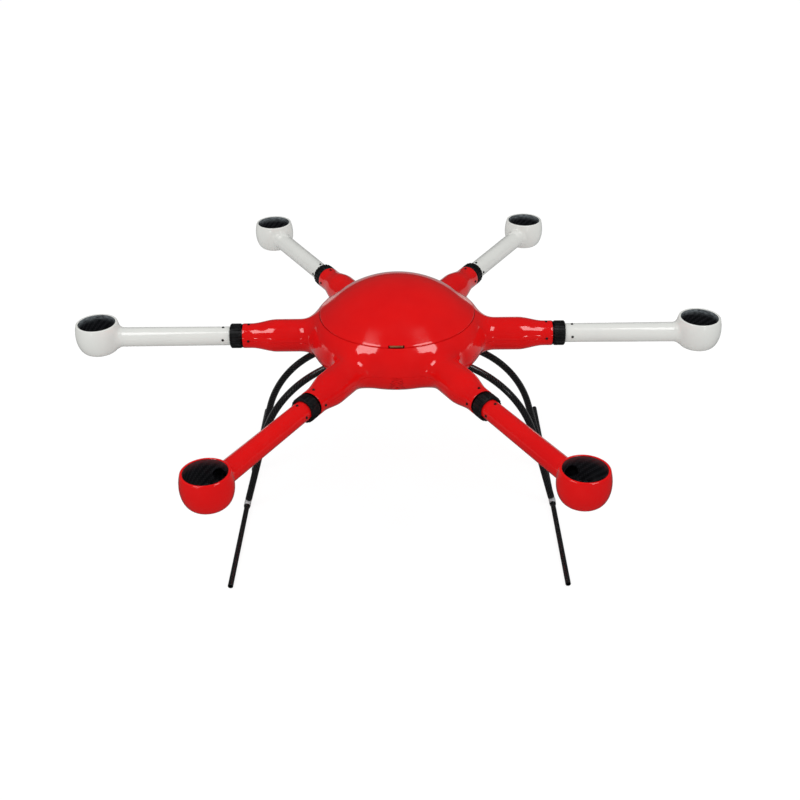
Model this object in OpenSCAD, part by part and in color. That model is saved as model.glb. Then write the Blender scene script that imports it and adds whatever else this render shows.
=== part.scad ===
// Six-armed multirotor airframe: a two-part moulded fuselage with a domed hatch, six
// quick-detach arms that end in open motor pods, and a tube landing gear on two skids.
// Z = 0 is the ground, -Y is the front, +X is the right-hand side.
// Heights inside the fuselage and the arms are counted from the arm axes, axis_h above it.

/* [Airframe] */
// Distance from the centre to each motor axis
arm_reach = 400; // [390:5:440]
// Height of the arm axes above the ground
axis_h = 250; // [248:1:252]

/* [Fuselage] */
// Widest radius, where the two shells meet
body_r = 117; // [116:0.5:119]
// Radius of the hatch opening
hatch_r = 102; // [101:0.5:103]
// Height of the domed hatch above its rim
hatch_rise = 44; // [36:1:46]
// Horizontal half-axis of the rounded upper side
crown_a = 42; // [40:1:44]
// Height of the rounded upper side, if it went on to the top
crown_b = 45; // [43:1:47]
// Horizontal half-axis of the rounded lower side
belly_a = 37; // [35:1:39]
// Depth of the belly below the arm axes
belly_b = 32; // [32:0.5:34]
// Thickness of the moulded shells
shell_t = 2; // [1.6:0.2:2.4]
// Size of the fillet between the fuselage and its stubs
fillet_k = 16; // [10:1:20]

/* [Stubs] */
// Distance from the centre to the end of a stub
stub_end = 205.5; // [203:0.5:206]
// Radius of a stub near the fuselage
stub_root_r = 21.8; // [20:0.2:23]
// Radius of a stub at its end
stub_tip_r = 16.5; // [16.4:0.1:17]

/* [Arms] */
// Distance from the centre to the inner end of an arm tube
arm_start = 219; // [219:0.5:220]
// Radius of an arm tube at its inner end
arm_r = 12.5; // [12.5:0.1:12.6]
// Radius of an arm tube where it meets its pod
arm_pod_r = 13.0; // [12.7:0.1:13.4]
// Radius of the bore of an arm tube
arm_bore_r = 10.5; // [10.2:0.1:10.6]
// Travel of an arm as it is pulled out of its socket
arm_pull = 50; // [45:1:60]

/* [Motor pods] */
// Widest radius of a pod
pod_r = 29.7; // [29:0.1:31]
// Radius of the cup of a pod
pod_bore_r = 24.5; // [24:0.1:25]
// Height of the rim above the arm axis
pod_top = 21.5; // [20:0.5:23]
// Depth of the bottom below the arm axis
pod_depth = 19.5; // [19:0.5:21]
// Diameter of the circle of motor screw holes
motor_pcd = 25; // [19:1:30]

/* [Collar nuts] */
// Length of a collar nut
collar_len = 15; // [14.8:0.1:15.2]
// Radius over the ribs
collar_r = 16.5; // [16.3:0.1:17]
// Number of ribs
collar_ribs = 22; // [16:1:28]

/* [Landing gear] */
// Distance from the middle to each skid
skid_x = 216; // [214:1:218]
// Length of a skid
skid_len = 427; // [380:1:460]
// Distance of the middle of the skids ahead of the centre
skid_ahead = 8; // [0:1:16]
// Diameter of a skid tube
skid_d = 7; // [6.6:0.1:7]
// Diameter of a leg tube
leg_d = 9.5; // [9:0.1:9.6]
// Distance fore and aft from the centre to each fitting
tee_y = 45; // [42:1:48]
// Bend radius of a leg
leg_bend_r = 155; // [153:1:157]
// Slope of the lower, straight part of a leg, from level
leg_slope = 73.9; // [73:0.1:75]
// Angle at which a leg turns towards the middle, seen from above
leg_turn = 8; // [6:1:10]

/* [Hidden] */
$fn = 64;

// Directions of the arms, anticlockwise from the right-hand side
right = 0;
rear_right = 60;
rear_left = 120;
left = 180;
front_left = 240;
front_right = 300;
directions = [for (k = [0:5]) 60 * k];

// Colours
red = "#dc1616";
white = "#eeefec";
black = "#202122";
carbon = "#26282a";
steel = "#3a3b3d";
silver = "#c9ccd0";
brass = "#a8743a";

eps = 0.01;
skin_rows = 7;

// Fuselage: the sides are elliptical arcs, the hatch is part of a sphere
crown_core = body_r - crown_a;
belly_core = body_r - belly_a;
rim_z = crown_b * sqrt(1 - pow((hatch_r - crown_core) / crown_a, 2));
dome_r = (pow(hatch_r, 2) + pow(hatch_rise, 2)) / (2 * hatch_rise);
dome_z = rim_z + hatch_rise - dome_r;
hatch_gap = 0.3;
ledge_in = 90;
ledge_r = dome_r - shell_t - 0.35;
ledge_t = 2.5;
rim_slope = asin(hatch_r / dome_r);

// Stubs narrow between these two distances from the centre
taper_start = 160;
taper_end = 195;
stub_wall = 2.5;

// Screws that join the shells stand between the stubs
shell_screw_r = 109;
shell_screw_seat = -9;
boss_r = 4.8;
m3_r = 1.5;
m3_hole_r = 1.6;
m3_head_r = 2.75;
m3_head_h = 1.9;

// Socket and spigot of an arm joint
flange_t = 1;
sleeve_r = 13.8;
sleeve_nose_r = 14.5;
sleeve_nose_end = 216;
sleeve_in = 170;
spigot_bore_r = 10;
spigot_r = 9.95;
spigot_flange_r = 14.2;
spigot_in = 178;
spigot_out = 246;
wire_bore_r = 7.5;
collar_in = 207.5;
collar_thread_r = sleeve_nose_r + 0.08;
collar_lip_r = arm_r + 0.08;
rib_h = 0.9;
collar_chamfer = 1.4;
socket_screw_u = 197.5;
arm_screw_u = 232;
screw_r = 1.25;
screw_head_r = 1.8;
screw_head_h = 1.1;

// Pods
pod_ledge_z = -13;
pod_well_r = 21;
pod_well_z = -17;
floor_t = 2.5;
motor_hole_r = 1.6;
shaft_hole_r = 5;
access_hole_r = 3.2;

// Decks
base_z = -14;
top_z = 14;
deck_t = 2;
base_r = 84;
top_r = 70;
post_r = 60;
post_hole_r = 1.5;
controller_pitch = 30.5;

// Hinge of the hatch: its pin lies just outside the rear of the rim
hinge_lift = 2.4;
hinge_y = hatch_r - 0.05 + hinge_lift * sin(rim_slope);
hinge_z = rim_z + hinge_lift * cos(rim_slope);
knuckle_r = 2.2;
hinge_pin_r = 1;
hinge_w = 24;
knuckle_w = 8;
leaf_t = 1.2;
leaf_sink = 0.2;
leaf_len = 11;

// Latch, in a notch at the front of the hatch
latch_w = 17;
latch_t = 2;
latch_z = 34.2;
latch_front = -100.6;
latch_back = -84;
latch_shoulder = 3;
latch_travel = 3;
notch_w = 20;
housing_w = 26;
housing_front = -94;
housing_back = -74;
housing_z = [30, 37.6];
ear_h = 3.2;

// Landing gear: a leg is drawn in its own upright plane, from its fitting inwards
tee_r = leg_d / 2;
skid_axis_h = tee_r;
skid_bore_d = skid_d - 2;
leg_bore_d = leg_d - 2;
leg_root_slope = 5;
leg_root_len = 24;
leg_foot = 7.5;
leg_straight = 114;
slot_out = 119;
slot_len = 46;
leg_lap = 0.5;
leg_step = 0.02;
tee_len = 11;
ring_len = 2.6;
ring_r = 4.4;
clamp_len = 18;
clamp_w = 22;
clamp_screw_y = 8;

bend_start = leg_straight * [cos(leg_slope), sin(leg_slope)];
bend_centre = bend_start + leg_bend_r * [sin(leg_slope), -cos(leg_slope)];
bend_end = bend_centre + leg_bend_r * [-sin(leg_root_slope), cos(leg_root_slope)];
clamp_mid = bend_end + (3 + clamp_len / 2) * [cos(leg_root_slope), sin(leg_root_slope)];

// ---- The moulded skin of the fuselage ----

// Rises smoothly from 0 to 1 as x goes from a to b
function smooth(x, a, b) = let (t = min(max((x - a) / (b - a), 0), 1)) t * t * (3 - 2 * t);

function stub_radius(u) =
  stub_root_r + (stub_tip_r - stub_root_r) * smooth(u, taper_start, taper_end);

// How far a point is outside the round body, or inside if negative
function body_gap(u, v, z, inset) =
  let (
    a = (z >= 0 ? crown_a : belly_a) - inset,
    b = (z >= 0 ? crown_b : belly_b) - inset,
    core = z >= 0 ? crown_core : belly_core
  )
  (norm([max(norm([u, v]) - core, 0) / a, z / b]) - 1) * min(a, b);

function stub_gap(u, v, z, inset) = norm([v, z]) - stub_radius(u) + inset;

// The two joined with a fillet; u runs along the nearest stub, v across it
function skin_gap(u, v, z, inset) =
  let (
    a = body_gap(u, v, z, inset),
    b = stub_gap(u, v, z, inset * stub_wall / shell_t),
    h = max(fillet_k - abs(a - b), 0)
  )
  min(a, b) - h * h / (4 * fillet_k);

// Length of the ray from a point on the arm plane to the skin, found by halving
function reach(o, d, inset, near = 0, far = 80, steps = 18) =
  let (mid = (near + far) / 2)
  steps == 0 ? mid
  : skin_gap(o[0] + d[0] * mid, o[1] + d[1] * mid, d[2] * mid, inset) > 0
    ? reach(o, d, inset, near, mid, steps - 1)
    : reach(o, d, inset, mid, far, steps - 1);

// Stations of half a sector: [origin on the arm plane, direction across it]. They run
// along the stub from its end, then fan round the ring of the given radius.
function stations(ring) = concat(
  [for (u = [stub_end, 195, 187, 179, 170, 160, 146, 133, 122]) [u, 0, 90]],
  [for (k = [1:3]) let (u = 122 + (ring - 122) * k / 4) [u, 0, 90 - 5 * k]],
  [for (k = [0:5]) let (a = 6 * k) [ring * cos(a), ring * sin(a), 70 - 8 * k]]
);

// The points of one section, from the ridge down to the arm plane; side is +1 for the
// upper half and -1 for the lower
function section(st, dir, flip, side, inset) =
  let (o = [st[0], st[1]], n = [cos(st[2]), sin(st[2])])
  [for (i = [0:skin_rows])
    let (
      phi = 90 * (1 - i / skin_rows),
      d = [n[0] * cos(phi), n[1] * cos(phi), side * sin(phi)],
      l = reach(o, d, inset)
    )
    turned([o[0] + d[0] * l, o[1] + d[1] * l, d[2] * l], dir, flip)];

function turned(p, dir, flip) = [
  p[0] * cos(dir) - flip * p[1] * sin(dir),
  p[0] * sin(dir) + flip * p[1] * cos(dir),
  p[2]
];

// All sections of one skin, in order round the fuselage
function skin(side, inset, ring) =
  let (half = stations(ring), m = len(half))
  [for (dir = directions) each concat(
    [for (s = [m - 1:-1:0]) section(half[s], dir, -1, side, inset)],
    [for (s = [0:m - 2]) section(half[s], dir, 1, side, inset)]
  )];

// One moulded half with its wall: an outer and an inner skin, joined along the parting
// plane, round the ends of the stubs, and round the ring unless the top is closed
module moulded_half(side, ring, closed) {
  outer = skin(side, 0, ring);
  inner = skin(side, shell_t, ring);
  n = len(outer);
  w = skin_rows + 1;
  per_arm = n / 6;
  tip = (per_arm - 1) / 2;
  fan = 5;
  lift = n * w;
  top = 2 * lift;
  points = concat([for (sec = outer) each sec], [for (sec = inner) each sec],
    closed ? [[0, 0, outer[0][0][2]], [0, 0, inner[0][0][2]]] : []);
  gaps = [for (s = [0:n - 1]) if (s % per_arm != tip) s];
  ends = [for (s = [0:n - 1]) if (s % per_arm == tip) s];
  ring_gaps = [for (s = [0:n - 1]) if (s % per_arm < fan || s % per_arm >= per_arm - fan) s];
  walls = [for (s = gaps) for (i = [0:w - 2])
    let (a = s * w + i, b = ((s + 1) % n) * w + i)
    each [[a, b, b + 1], [a, b + 1, a + 1],
      [lift + a, lift + b + 1, lift + b], [lift + a, lift + a + 1, lift + b + 1]]];
  parting = [for (s = gaps) let (a = s * w + w - 1, b = ((s + 1) % n) * w + w - 1)
    each [[a, b, lift + b], [a, lift + b, lift + a]]];
  tips = [for (s = ends) for (i = [0:w - 2])
    let (a = s * w + i, b = (s + 1) * w + i)
    each [[a, lift + a + 1, a + 1], [a, lift + a, lift + a + 1],
      [b, b + 1, lift + b + 1], [b, lift + b + 1, lift + b]]];
  rim = [for (s = ring_gaps) let (a = s * w, b = ((s + 1) % n) * w)
    each closed ? [[a, top, b], [lift + a, lift + b, top + 1]]
      : [[a, lift + b, b], [a, lift + a, lift + b]]];
  faces = concat(walls, parting, tips, rim);
  polyhedron(points, side > 0 ? faces : [for (f = faces) [f[2], f[1], f[0]]], convexity = 8);
}

// ---- Placing ----

module at_axis() translate([0, 0, axis_h]) children();
module along(dir) at_axis() rotate([0, 0, dir]) children();
module between_stubs() for (dir = directions) rotate([0, 0, dir + 30]) children();
// A round cutter or boss turned half a facet, so that none of its corners lies on an edge
// of the skin
module pillar(h, r, fn) rotate([0, 0, 180 / fn]) cylinder(h = h, r = r, $fn = fn);
module mirrored(axis) { children(); mirror(axis) children(); }
// A round bar along an arm, from one distance to another
module bar(from, to, r1, r2) translate([from, 0, 0]) rotate([0, 90, 0])
  cylinder(h = to - from, r1 = r1, r2 = is_undef(r2) ? r1 : r2);
// Four places round an arm, with +Z pointing outwards
module round_arm(u) for (a = [0:90:270]) translate([u, 0, 0]) rotate([a, 0, 0]) children();
// One quarter of the landing gear: x and y are 1 or -1
module quarter(x, y) mirror([x < 0 ? 1 : 0, 0, 0]) mirror([0, y < 0 ? 1 : 0, 0]) children();
// The upright plane of a leg: X runs inwards from the fitting, Y is up
module leg_plane() translate([skid_x, tee_y, skid_axis_h]) rotate([0, 0, 180 + leg_turn])
  rotate([90, 0, 0]) children();

// ---- Fuselage ----

module hinge_frame() translate([0, hinge_y, hinge_z]) rotate([-rim_slope, 0, 0]) children();

// Flat seat under a hinge leaf; side is 1 below the seam and -1 above it
module hinge_seat(side)
  hinge_frame() translate([-hinge_w / 2 - 0.2, side > 0 ? -3 : -leaf_len - 0.2,
    -hinge_lift - leaf_sink]) cube([hinge_w + 0.4, leaf_len + 3.2, 8]);

module side_screw_holes(r, fn) for (dir = directions) rotate([0, 0, dir])
  translate([socket_screw_u, 0, 0]) for (a = [0:90:270]) rotate([a, 0, 0])
    pillar(30, r, fn);

// Bosses for the screws that join the shells, trimmed to the middle of the wall
module shell_boss(z1, z2, webs) intersection() {
  between_stubs() {
    translate([shell_screw_r, 0, z1]) pillar(z2 - z1, boss_r, 24);
    if (webs) hull() for (x = [0, 6]) translate([shell_screw_r + x, 0, z1 + 1.5])
      pillar(z2 - z1 - 3, boss_r - 1.5, 20);
    hull() for (x = [0, 6]) translate([shell_screw_r + x, 0, (z1 + z2) / 2 - 3])
      pillar(5.4, boss_r + 0.7, 24);
  }
  rotate([0, 0, 1.3]) rotate_extrude($fn = 90) polygon(concat([[60, 0]], [for (k = [-9:9])
    let (b = k < 0 ? belly_b : crown_b, a = k < 0 ? belly_a : crown_a)
    [body_r - a + (a - shell_t / 2) * cos(10 * k), (b - shell_t / 2) * sin(10 * k)]]));
}

// Ring under the edge of the hatch
module ledge() {
  edge = hatch_r + 0.4;
  root = hatch_r + 5.4;
  root_z = (crown_b - shell_t / 2) * sqrt(1 - pow((root - crown_core) / (crown_a - shell_t / 2), 2));
  seat = [for (r = [ledge_in, (ledge_in + edge) / 2, edge])
    [r, dome_z + sqrt(ledge_r * ledge_r - r * r)]];
  under = [for (k = [2:-1:0]) seat[k] - [0, ledge_t]];
  rotate([0, 0, 1]) rotate_extrude($fn = 96)
    polygon(concat(seat, [[root, root_z], [root, root_z - 0.8]], under));
}

module upper_shell() color(red) at_axis() difference() {
  union() {
    moulded_half(1, hatch_r + 0.15, false);
    shell_boss(0.02, 12, true);
    difference() {
      ledge();
      translate([-15, -hatch_r - 10, 0]) cube([30, 30, 60]);
      translate([-22, hatch_r - 15, 0]) cube([44, 20, 60]);
    }
  }
  between_stubs() translate([shell_screw_r, 0, -1]) pillar(11.2, m3_r, 16);
  side_screw_holes(screw_r + 0.05, 16);
  hinge_seat(1);
}

module lower_shell() color(red) at_axis() difference() {
  union() {
    moulded_half(-1, belly_core, true);
    shell_boss(-belly_b, -1, false);
  }
  between_stubs() translate([shell_screw_r, 0, 0]) {
    translate([0, 0, -belly_b]) pillar(belly_b + 1, m3_hole_r, 16);
    translate([0, 0, -belly_b]) pillar(belly_b + shell_screw_seat, 3.1, 24);
  }
  side_screw_holes(screw_r + 0.05, 16);
  translate([0, 0, -axis_h]) {
    for (x = [-1, 1], y = [-1, 1]) quarter(x, y) leg_slot();
    clamp_screw_places() translate([0, 0, -10]) cylinder(h = 30, r = m3_hole_r, $fn = 16);
  }
}

module hatch() color(red) at_axis() difference() {
  intersection() {
    translate([0, 0, dome_z]) sphere(r = dome_r, $fn = 200);
    translate([0, 0, rim_z - 10]) cylinder(h = 80, r = hatch_r - hatch_gap, $fn = 144);
  }
  translate([0, 0, dome_z]) sphere(r = dome_r - shell_t, $fn = 200);
  translate([-notch_w / 2, -hatch_r - 4, rim_z - 8])
    cube([notch_w, 12, latch_z + latch_t + 0.5 - rim_z + 8]);
  hinge_seat(-1);
}

// ---- Hinge of the hatch ----

module knuckles(parts, r, extra) for (p = parts) translate([p[0] - extra, 0, 0])
  rotate([0, 90, 0]) cylinder(h = p[1] - p[0] + 2 * extra, r = r, $fn = 48);

outer_knuckles = [[-hinge_w / 2, -knuckle_w / 2 - 0.1], [knuckle_w / 2 + 0.1, hinge_w / 2]];
middle_knuckle = [[-knuckle_w / 2, knuckle_w / 2]];

module leaf(side, own, other, bore_r) at_axis() hinge_frame() difference() {
  union() {
    knuckles(own, knuckle_r, 0);
    difference() {
      translate([-hinge_w / 2, side > 0 ? 0 : -leaf_len, -hinge_lift - leaf_sink])
        cube([hinge_w, leaf_len, leaf_t]);
      knuckles(other, knuckle_r + 0.35, 0.1);
    }
  }
  knuckles([[-hinge_w / 2 - 1, hinge_w / 2 + 1]], bore_r, 0);
}

module hinge_leaf_shell() color(brass) leaf(1, outer_knuckles, middle_knuckle, hinge_pin_r);
module hinge_leaf_hatch()
  color(brass) leaf(-1, middle_knuckle, outer_knuckles, hinge_pin_r + 0.05);
module hinge_pin() color(silver) at_axis() hinge_frame()
  knuckles([[-hinge_w / 2, hinge_w / 2]], hinge_pin_r, 0);

// ---- Latch ----

module latch_tongue() color(brass) at_axis() translate([0, 0, latch_z]) {
  translate([-latch_w / 2, latch_front, 0])
    cube([latch_w, latch_back - latch_front, latch_t]);
  translate([-latch_w / 2 - 2, latch_back - latch_shoulder, 0])
    cube([latch_w + 4, latch_shoulder, latch_t]);
}

module latch_housing() color(black) at_axis() difference() {
  union() {
    translate([-housing_w / 2, housing_front, housing_z[0]])
      cube([housing_w, housing_back - housing_front, housing_z[1] - housing_z[0]]);
    mirrored([1, 0, 0]) translate([housing_w / 2 - 1, housing_front - 3, housing_z[0]])
      cube([5, 9, ear_h]);
  }
  translate([0, 0, latch_z - 0.05]) {
    translate([-latch_w / 2 - 0.1, housing_front - 5, 0])
      cube([latch_w + 0.2, 20, latch_t + 0.1]);
    translate([-latch_w / 2 - 2.1, latch_back - latch_shoulder - 0.05, 0])
      cube([latch_w + 4.2, latch_travel + latch_shoulder + 0.1, latch_t + 0.1]);
    translate([-2, latch_back, 0]) cube([4, 8.5, latch_t + 0.1]);
  }
}

module latch_spring() color(steel) at_axis()
  translate([0, latch_back + latch_travel + 0.1, latch_z + latch_t / 2])
    rotate([-90, 0, 0]) difference() {
      cylinder(h = 5.35, r = 0.95);
      translate([0, 0, -1]) cylinder(h = 8, r = 0.55);
    }

// ---- Decks inside the fuselage ----

module post_places() for (dir = directions) rotate([0, 0, dir + 30])
  translate([post_r, 0, 0]) children();

module deck(r, z) difference() {
  translate([0, 0, z]) cylinder(h = deck_t, r = r, $fn = 96);
  translate([0, 0, z - 1]) {
    post_places() cylinder(h = deck_t + 2, r = m3_hole_r);
    children();
  }
}

module base_plate() color(carbon) difference() {
  at_axis() deck(base_r, base_z) {
    cylinder(h = 4, r = 22);
    for (dir = directions) rotate([0, 0, dir]) translate([68, 0, 0]) cylinder(h = 4, r = 8);
  }
  clamp_screw_places() translate([0, 0, -20]) cylinder(h = 40, r = m3_hole_r);
}

module top_plate() color(carbon) at_axis() deck(top_r, top_z) {
  for (x = [-1, 1], y = [-1, 1])
    translate([x, y, 0] * controller_pitch / 2) cylinder(h = 4, r = m3_hole_r);
  for (dir = directions) rotate([0, 0, dir]) translate([48, 0, 0]) cylinder(h = 4, r = 9);
}

module standoffs() color(silver) at_axis() post_places() difference() {
  translate([0, 0, base_z + deck_t])
    cylinder(h = top_z - base_z - deck_t, r = 3.2, $fn = 6);
  translate([0, 0, base_z]) cylinder(h = 30, r = post_hole_r);
}

module m3_screw(length) {
  cylinder(h = length, r = m3_r - 0.03);
  translate([0, 0, -m3_head_h]) difference() {
    cylinder(h = m3_head_h, r = m3_head_r);
    translate([0, 0, -1]) cylinder(h = 2.2, r = 1.1, $fn = 6);
  }
}

module deck_screws() color(steel) at_axis() post_places() {
  translate([0, 0, top_z + deck_t]) mirror([0, 0, 1]) m3_screw(8);
  translate([0, 0, base_z]) m3_screw(8);
}

module shell_screws() color(steel) at_axis() between_stubs()
  translate([shell_screw_r, 0, shell_screw_seat]) m3_screw(18);

// ---- Arm joints ----

module socket_sleeve() difference() {
  union() {
    bar(sleeve_in, stub_end + eps, sleeve_r);
    bar(stub_end, stub_end + flange_t, stub_tip_r - 0.5);
    bar(stub_end, sleeve_nose_end, sleeve_nose_r);
  }
  bar(sleeve_in - 1, sleeve_nose_end + 1, spigot_bore_r);
  round_arm(socket_screw_u) cylinder(h = 20, r = screw_r);
}

module socket_sleeves() color(silver) for (dir = directions) along(dir) socket_sleeve();

module side_screw(r) {
  translate([0, 0, r - 5]) cylinder(h = 5, r = screw_r - 0.02);
  translate([0, 0, r - screw_head_h + 0.5]) difference() {
    cylinder(h = screw_head_h, r1 = screw_head_r, r2 = screw_head_r - 0.5);
    translate([0, 0, 0.5]) cylinder(h = 2, r = 0.75, $fn = 6);
  }
}

module socket_screws() color(steel) for (dir = directions) along(dir)
  round_arm(socket_screw_u) side_screw(stub_radius(socket_screw_u) + 0.6);

module spigot(dir) color(silver) along(dir) difference() {
  union() {
    bar(spigot_in, spigot_out, spigot_r);
    bar(sleeve_nose_end + 0.1, arm_start, spigot_flange_r);
    bar(arm_start, spigot_out, arm_bore_r - 0.05);
  }
  bar(spigot_in - 1, spigot_out + 1, wire_bore_r);
  round_arm(arm_screw_u) cylinder(h = 20, r = screw_r);
}

// Outline of a rib ring: square ribs on a round core
function rib_ring(r, h, count) = [for (k = [0:count - 1]) for (p = [
    [-0.32, 0], [-0.22, h], [0.22, h], [0.32, 0]
  ]) let (a = (k + p[0]) * 360 / count) (r + p[1]) * [cos(a), sin(a)]];

module collar(dir) color(black) along(dir) difference() {
  intersection() {
    translate([collar_in, 0, 0]) rotate([0, 90, 0]) linear_extrude(collar_len)
      polygon(rib_ring(collar_r - rib_h, rib_h, collar_ribs));
    translate([collar_in, 0, 0]) rotate([0, 90, 0]) rotate_extrude() polygon([
      [0, 0], [collar_r - collar_chamfer, 0], [collar_r + 0.1, collar_chamfer + 0.1],
      [collar_r + 0.1, collar_len - collar_chamfer - 0.1],
      [collar_r - collar_chamfer, collar_len], [0, collar_len]
    ]);
  }
  bar(collar_in - 1, arm_start + 0.1, collar_thread_r);
  bar(arm_start, collar_in + collar_len + 1, collar_lip_r);
}

// ---- Arms ----

pod_round = 1.9;
pod_waist_z = 4;
pod_foot_r = 18;
pod_lip_r = 25.7;

// Outer profile of a pod: rounded rim, slightly bulged wall and a wide rounded foot
pod_profile = concat(
  [[0, -pod_depth]],
  [for (k = [0:9]) let (t = 90 - 10 * k)
    [pod_foot_r + (pod_r - pod_foot_r) * cos(t),
      pod_waist_z - (pod_depth + pod_waist_z) * sin(t)]],
  [for (k = [1:4]) let (z = pod_waist_z + (pod_top - pod_round - pod_waist_z) * k / 4,
    t = (z - pod_waist_z) / (pod_top - pod_round - pod_waist_z))
    [pod_r - (pod_r - pod_lip_r - pod_round) * t * t, z]],
  [for (k = [1:4]) let (t = 22.5 * k)
    [pod_lip_r + pod_round * cos(t), pod_top - pod_round + pod_round * sin(t)]],
  [[0, pod_top]]
);

module motor_screw_places() for (a = [45:90:315]) rotate([0, 0, a])
  translate([motor_pcd / 2, 0, 0]) children();

module arm(dir, tint) color(tint) along(dir) difference() {
  union() {
    bar(arm_start, arm_screw_u + 8, arm_r);
    bar(arm_screw_u + 8, arm_reach - 20, arm_r, arm_pod_r);
    translate([arm_reach, 0, 0]) rotate_extrude() polygon(pod_profile);
  }
  bar(arm_start - 1, arm_reach - 10, arm_bore_r);
  translate([arm_reach, 0, 0]) {
    translate([0, 0, pod_ledge_z]) cylinder(h = 60, r = pod_bore_r);
    translate([0, 0, pod_well_z]) cylinder(h = 30, r = pod_well_r);
    translate([0, 0, -30]) cylinder(h = 30, r = shaft_hole_r);
    translate([0, 0, -30]) motor_screw_places() cylinder(h = 30, r = access_hole_r);
  }
  round_arm(arm_screw_u) cylinder(h = 20, r = screw_r);
}

module motor_floor(dir) color(carbon) along(dir) translate([arm_reach, 0, pod_ledge_z])
  difference() {
    cylinder(h = floor_t, r = pod_bore_r - 0.1);
    translate([0, 0, -1]) cylinder(h = floor_t + 2, r = shaft_hole_r);
    translate([0, 0, -1]) motor_screw_places() cylinder(h = floor_t + 2, r = motor_hole_r);
  }

module arm_screws(dir) color(steel) along(dir) round_arm(arm_screw_u)
  side_screw(arm_r + 0.6);

// ---- Landing gear ----

// The whole run of a leg as a solid bar, or as a tube if a bore is given. The straight
// ends reach a little way into the bend, whose wall is a hair thicker.
module leg_path(r, bore = 0) {
  translate(leg_foot * [cos(leg_slope), sin(leg_slope), 0]) rotate([0, 0, leg_slope])
    leg_tube(leg_straight - leg_foot + leg_lap, r, bore);
  translate(bend_centre) rotate([0, 0, 90 + leg_root_slope])
    rotate_extrude(angle = leg_slope - leg_root_slope, $fn = 72)
      translate([leg_bend_r, 0]) leg_section(r + leg_step, bore - leg_step);
  translate(bend_end - leg_lap * [cos(leg_root_slope), sin(leg_root_slope)])
    rotate([0, 0, leg_root_slope]) leg_tube(leg_root_len + leg_lap, r, bore);
}

// Slot in the belly for a leg, as long as the stretch that goes through the wall
module leg_slot() translate([skid_x, tee_y, axis_h - belly_b - 5]) rotate([0, 0, 180 + leg_turn])
  hull() for (x = [slot_out, slot_out + slot_len]) translate([x, 0, 0])
    pillar(16, leg_d / 2 + 0.6, 16);

module leg_section(r, bore) difference() {
  circle(r = r, $fn = 32);
  if (bore > 0) circle(r = bore, $fn = 32);
}

module leg_tube(length, r, bore) rotate([0, 90, 0]) linear_extrude(length)
  leg_section(r, bore);

module leg(x, y) color(carbon) quarter(x, y) leg_plane() leg_path(leg_d / 2, leg_bore_d / 2);

module tee(x, y) color(silver) quarter(x, y) difference() {
  union() {
    translate([skid_x, tee_y - tee_len / 2, skid_axis_h]) rotate([-90, 0, 0])
      cylinder(h = tee_len, r = tee_r);
    leg_plane() rotate([0, 0, leg_slope]) rotate([0, 90, 0]) {
      cylinder(h = leg_foot, r = tee_r - 0.25);
      cylinder(h = leg_foot + 16, r = leg_bore_d / 2 - 0.04);
    }
  }
  translate([skid_x, 0, skid_axis_h]) rotate([-90, 0, 0])
    cylinder(h = 100, r = skid_d / 2 + 0.02);
}

module skid(x) color(carbon) translate([x * skid_x, -skid_len / 2 - skid_ahead, skid_axis_h])
  rotate([-90, 0, 0]) difference() {
    cylinder(h = skid_len, r = skid_d / 2);
    translate([0, 0, -1]) cylinder(h = skid_len + 2, r = skid_bore_d / 2);
  }

module skid_rings() color(black) for (x = [-1, 1], y = [-1, 1]) quarter(x, y)
  for (s = [-1, 1]) translate([skid_x, tee_y + s * (tee_len + ring_len) / 2, skid_axis_h])
    rotate([90, 0, 0]) difference() {
      cylinder(h = ring_len, r = ring_r, center = true);
      cylinder(h = ring_len + 1, r = skid_d / 2 + 0.02, center = true);
    }

// The block that holds the root of a leg between the belly and the base plate
module clamp_frame() translate([skid_x, tee_y, 0]) rotate([0, 0, 180 + leg_turn])
  translate([clamp_mid[0], 0, 0]) children();

module clamp_screw_places() for (x = [-1, 1], y = [-1, 1]) quarter(x, y) clamp_frame()
  for (s = [-1, 1]) translate([0, s * clamp_screw_y, axis_h - belly_b]) children();

module leg_clamps() color(black) difference() {
  for (x = [-1, 1], y = [-1, 1]) quarter(x, y) clamp_frame()
    translate([-clamp_len / 2, -clamp_w / 2, axis_h - belly_b + shell_t])
      cube([clamp_len, clamp_w, belly_b - shell_t + base_z]);
  for (x = [-1, 1], y = [-1, 1]) quarter(x, y) leg_plane()
    translate(bend_end) rotate([0, 0, leg_root_slope]) rotate([0, 90, 0])
      cylinder(h = 60, r = leg_d / 2 + 0.05, center = true);
  clamp_screw_places() cylinder(h = 40, r = m3_hole_r);
}

module leg_clamp_screws() color(steel) clamp_screw_places() translate([0, 0, -3 * eps])
  m3_screw(22);

// ---- Assembly ----

upper_shell();
lower_shell();
hatch();
hinge_leaf_shell();
hinge_leaf_hatch();
hinge_pin();
latch_tongue();
latch_housing();
latch_spring();
base_plate();
top_plate();
standoffs();
deck_screws();
shell_screws();
leg_clamps();
leg_clamp_screws();
socket_screws();
socket_sleeves();
arm(right, white);  // arm_right
arm(rear_right, white);  // arm_rear_right
arm(rear_left, white);  // arm_rear_left
arm(left, white);  // arm_left
arm(front_left, red);  // arm_front_left
arm(front_right, red);  // arm_front_right
spigot(right);  // spigot_right
spigot(rear_right);  // spigot_rear_right
spigot(rear_left);  // spigot_rear_left
spigot(left);  // spigot_left
spigot(front_left);  // spigot_front_left
spigot(front_right);  // spigot_front_right
collar(right);  // collar_right
collar(rear_right);  // collar_rear_right
collar(rear_left);  // collar_rear_left
collar(left);  // collar_left
collar(front_left);  // collar_front_left
collar(front_right);  // collar_front_right
motor_floor(right);  // motor_floor_right
motor_floor(rear_right);  // motor_floor_rear_right
motor_floor(rear_left);  // motor_floor_rear_left
motor_floor(left);  // motor_floor_left
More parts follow.
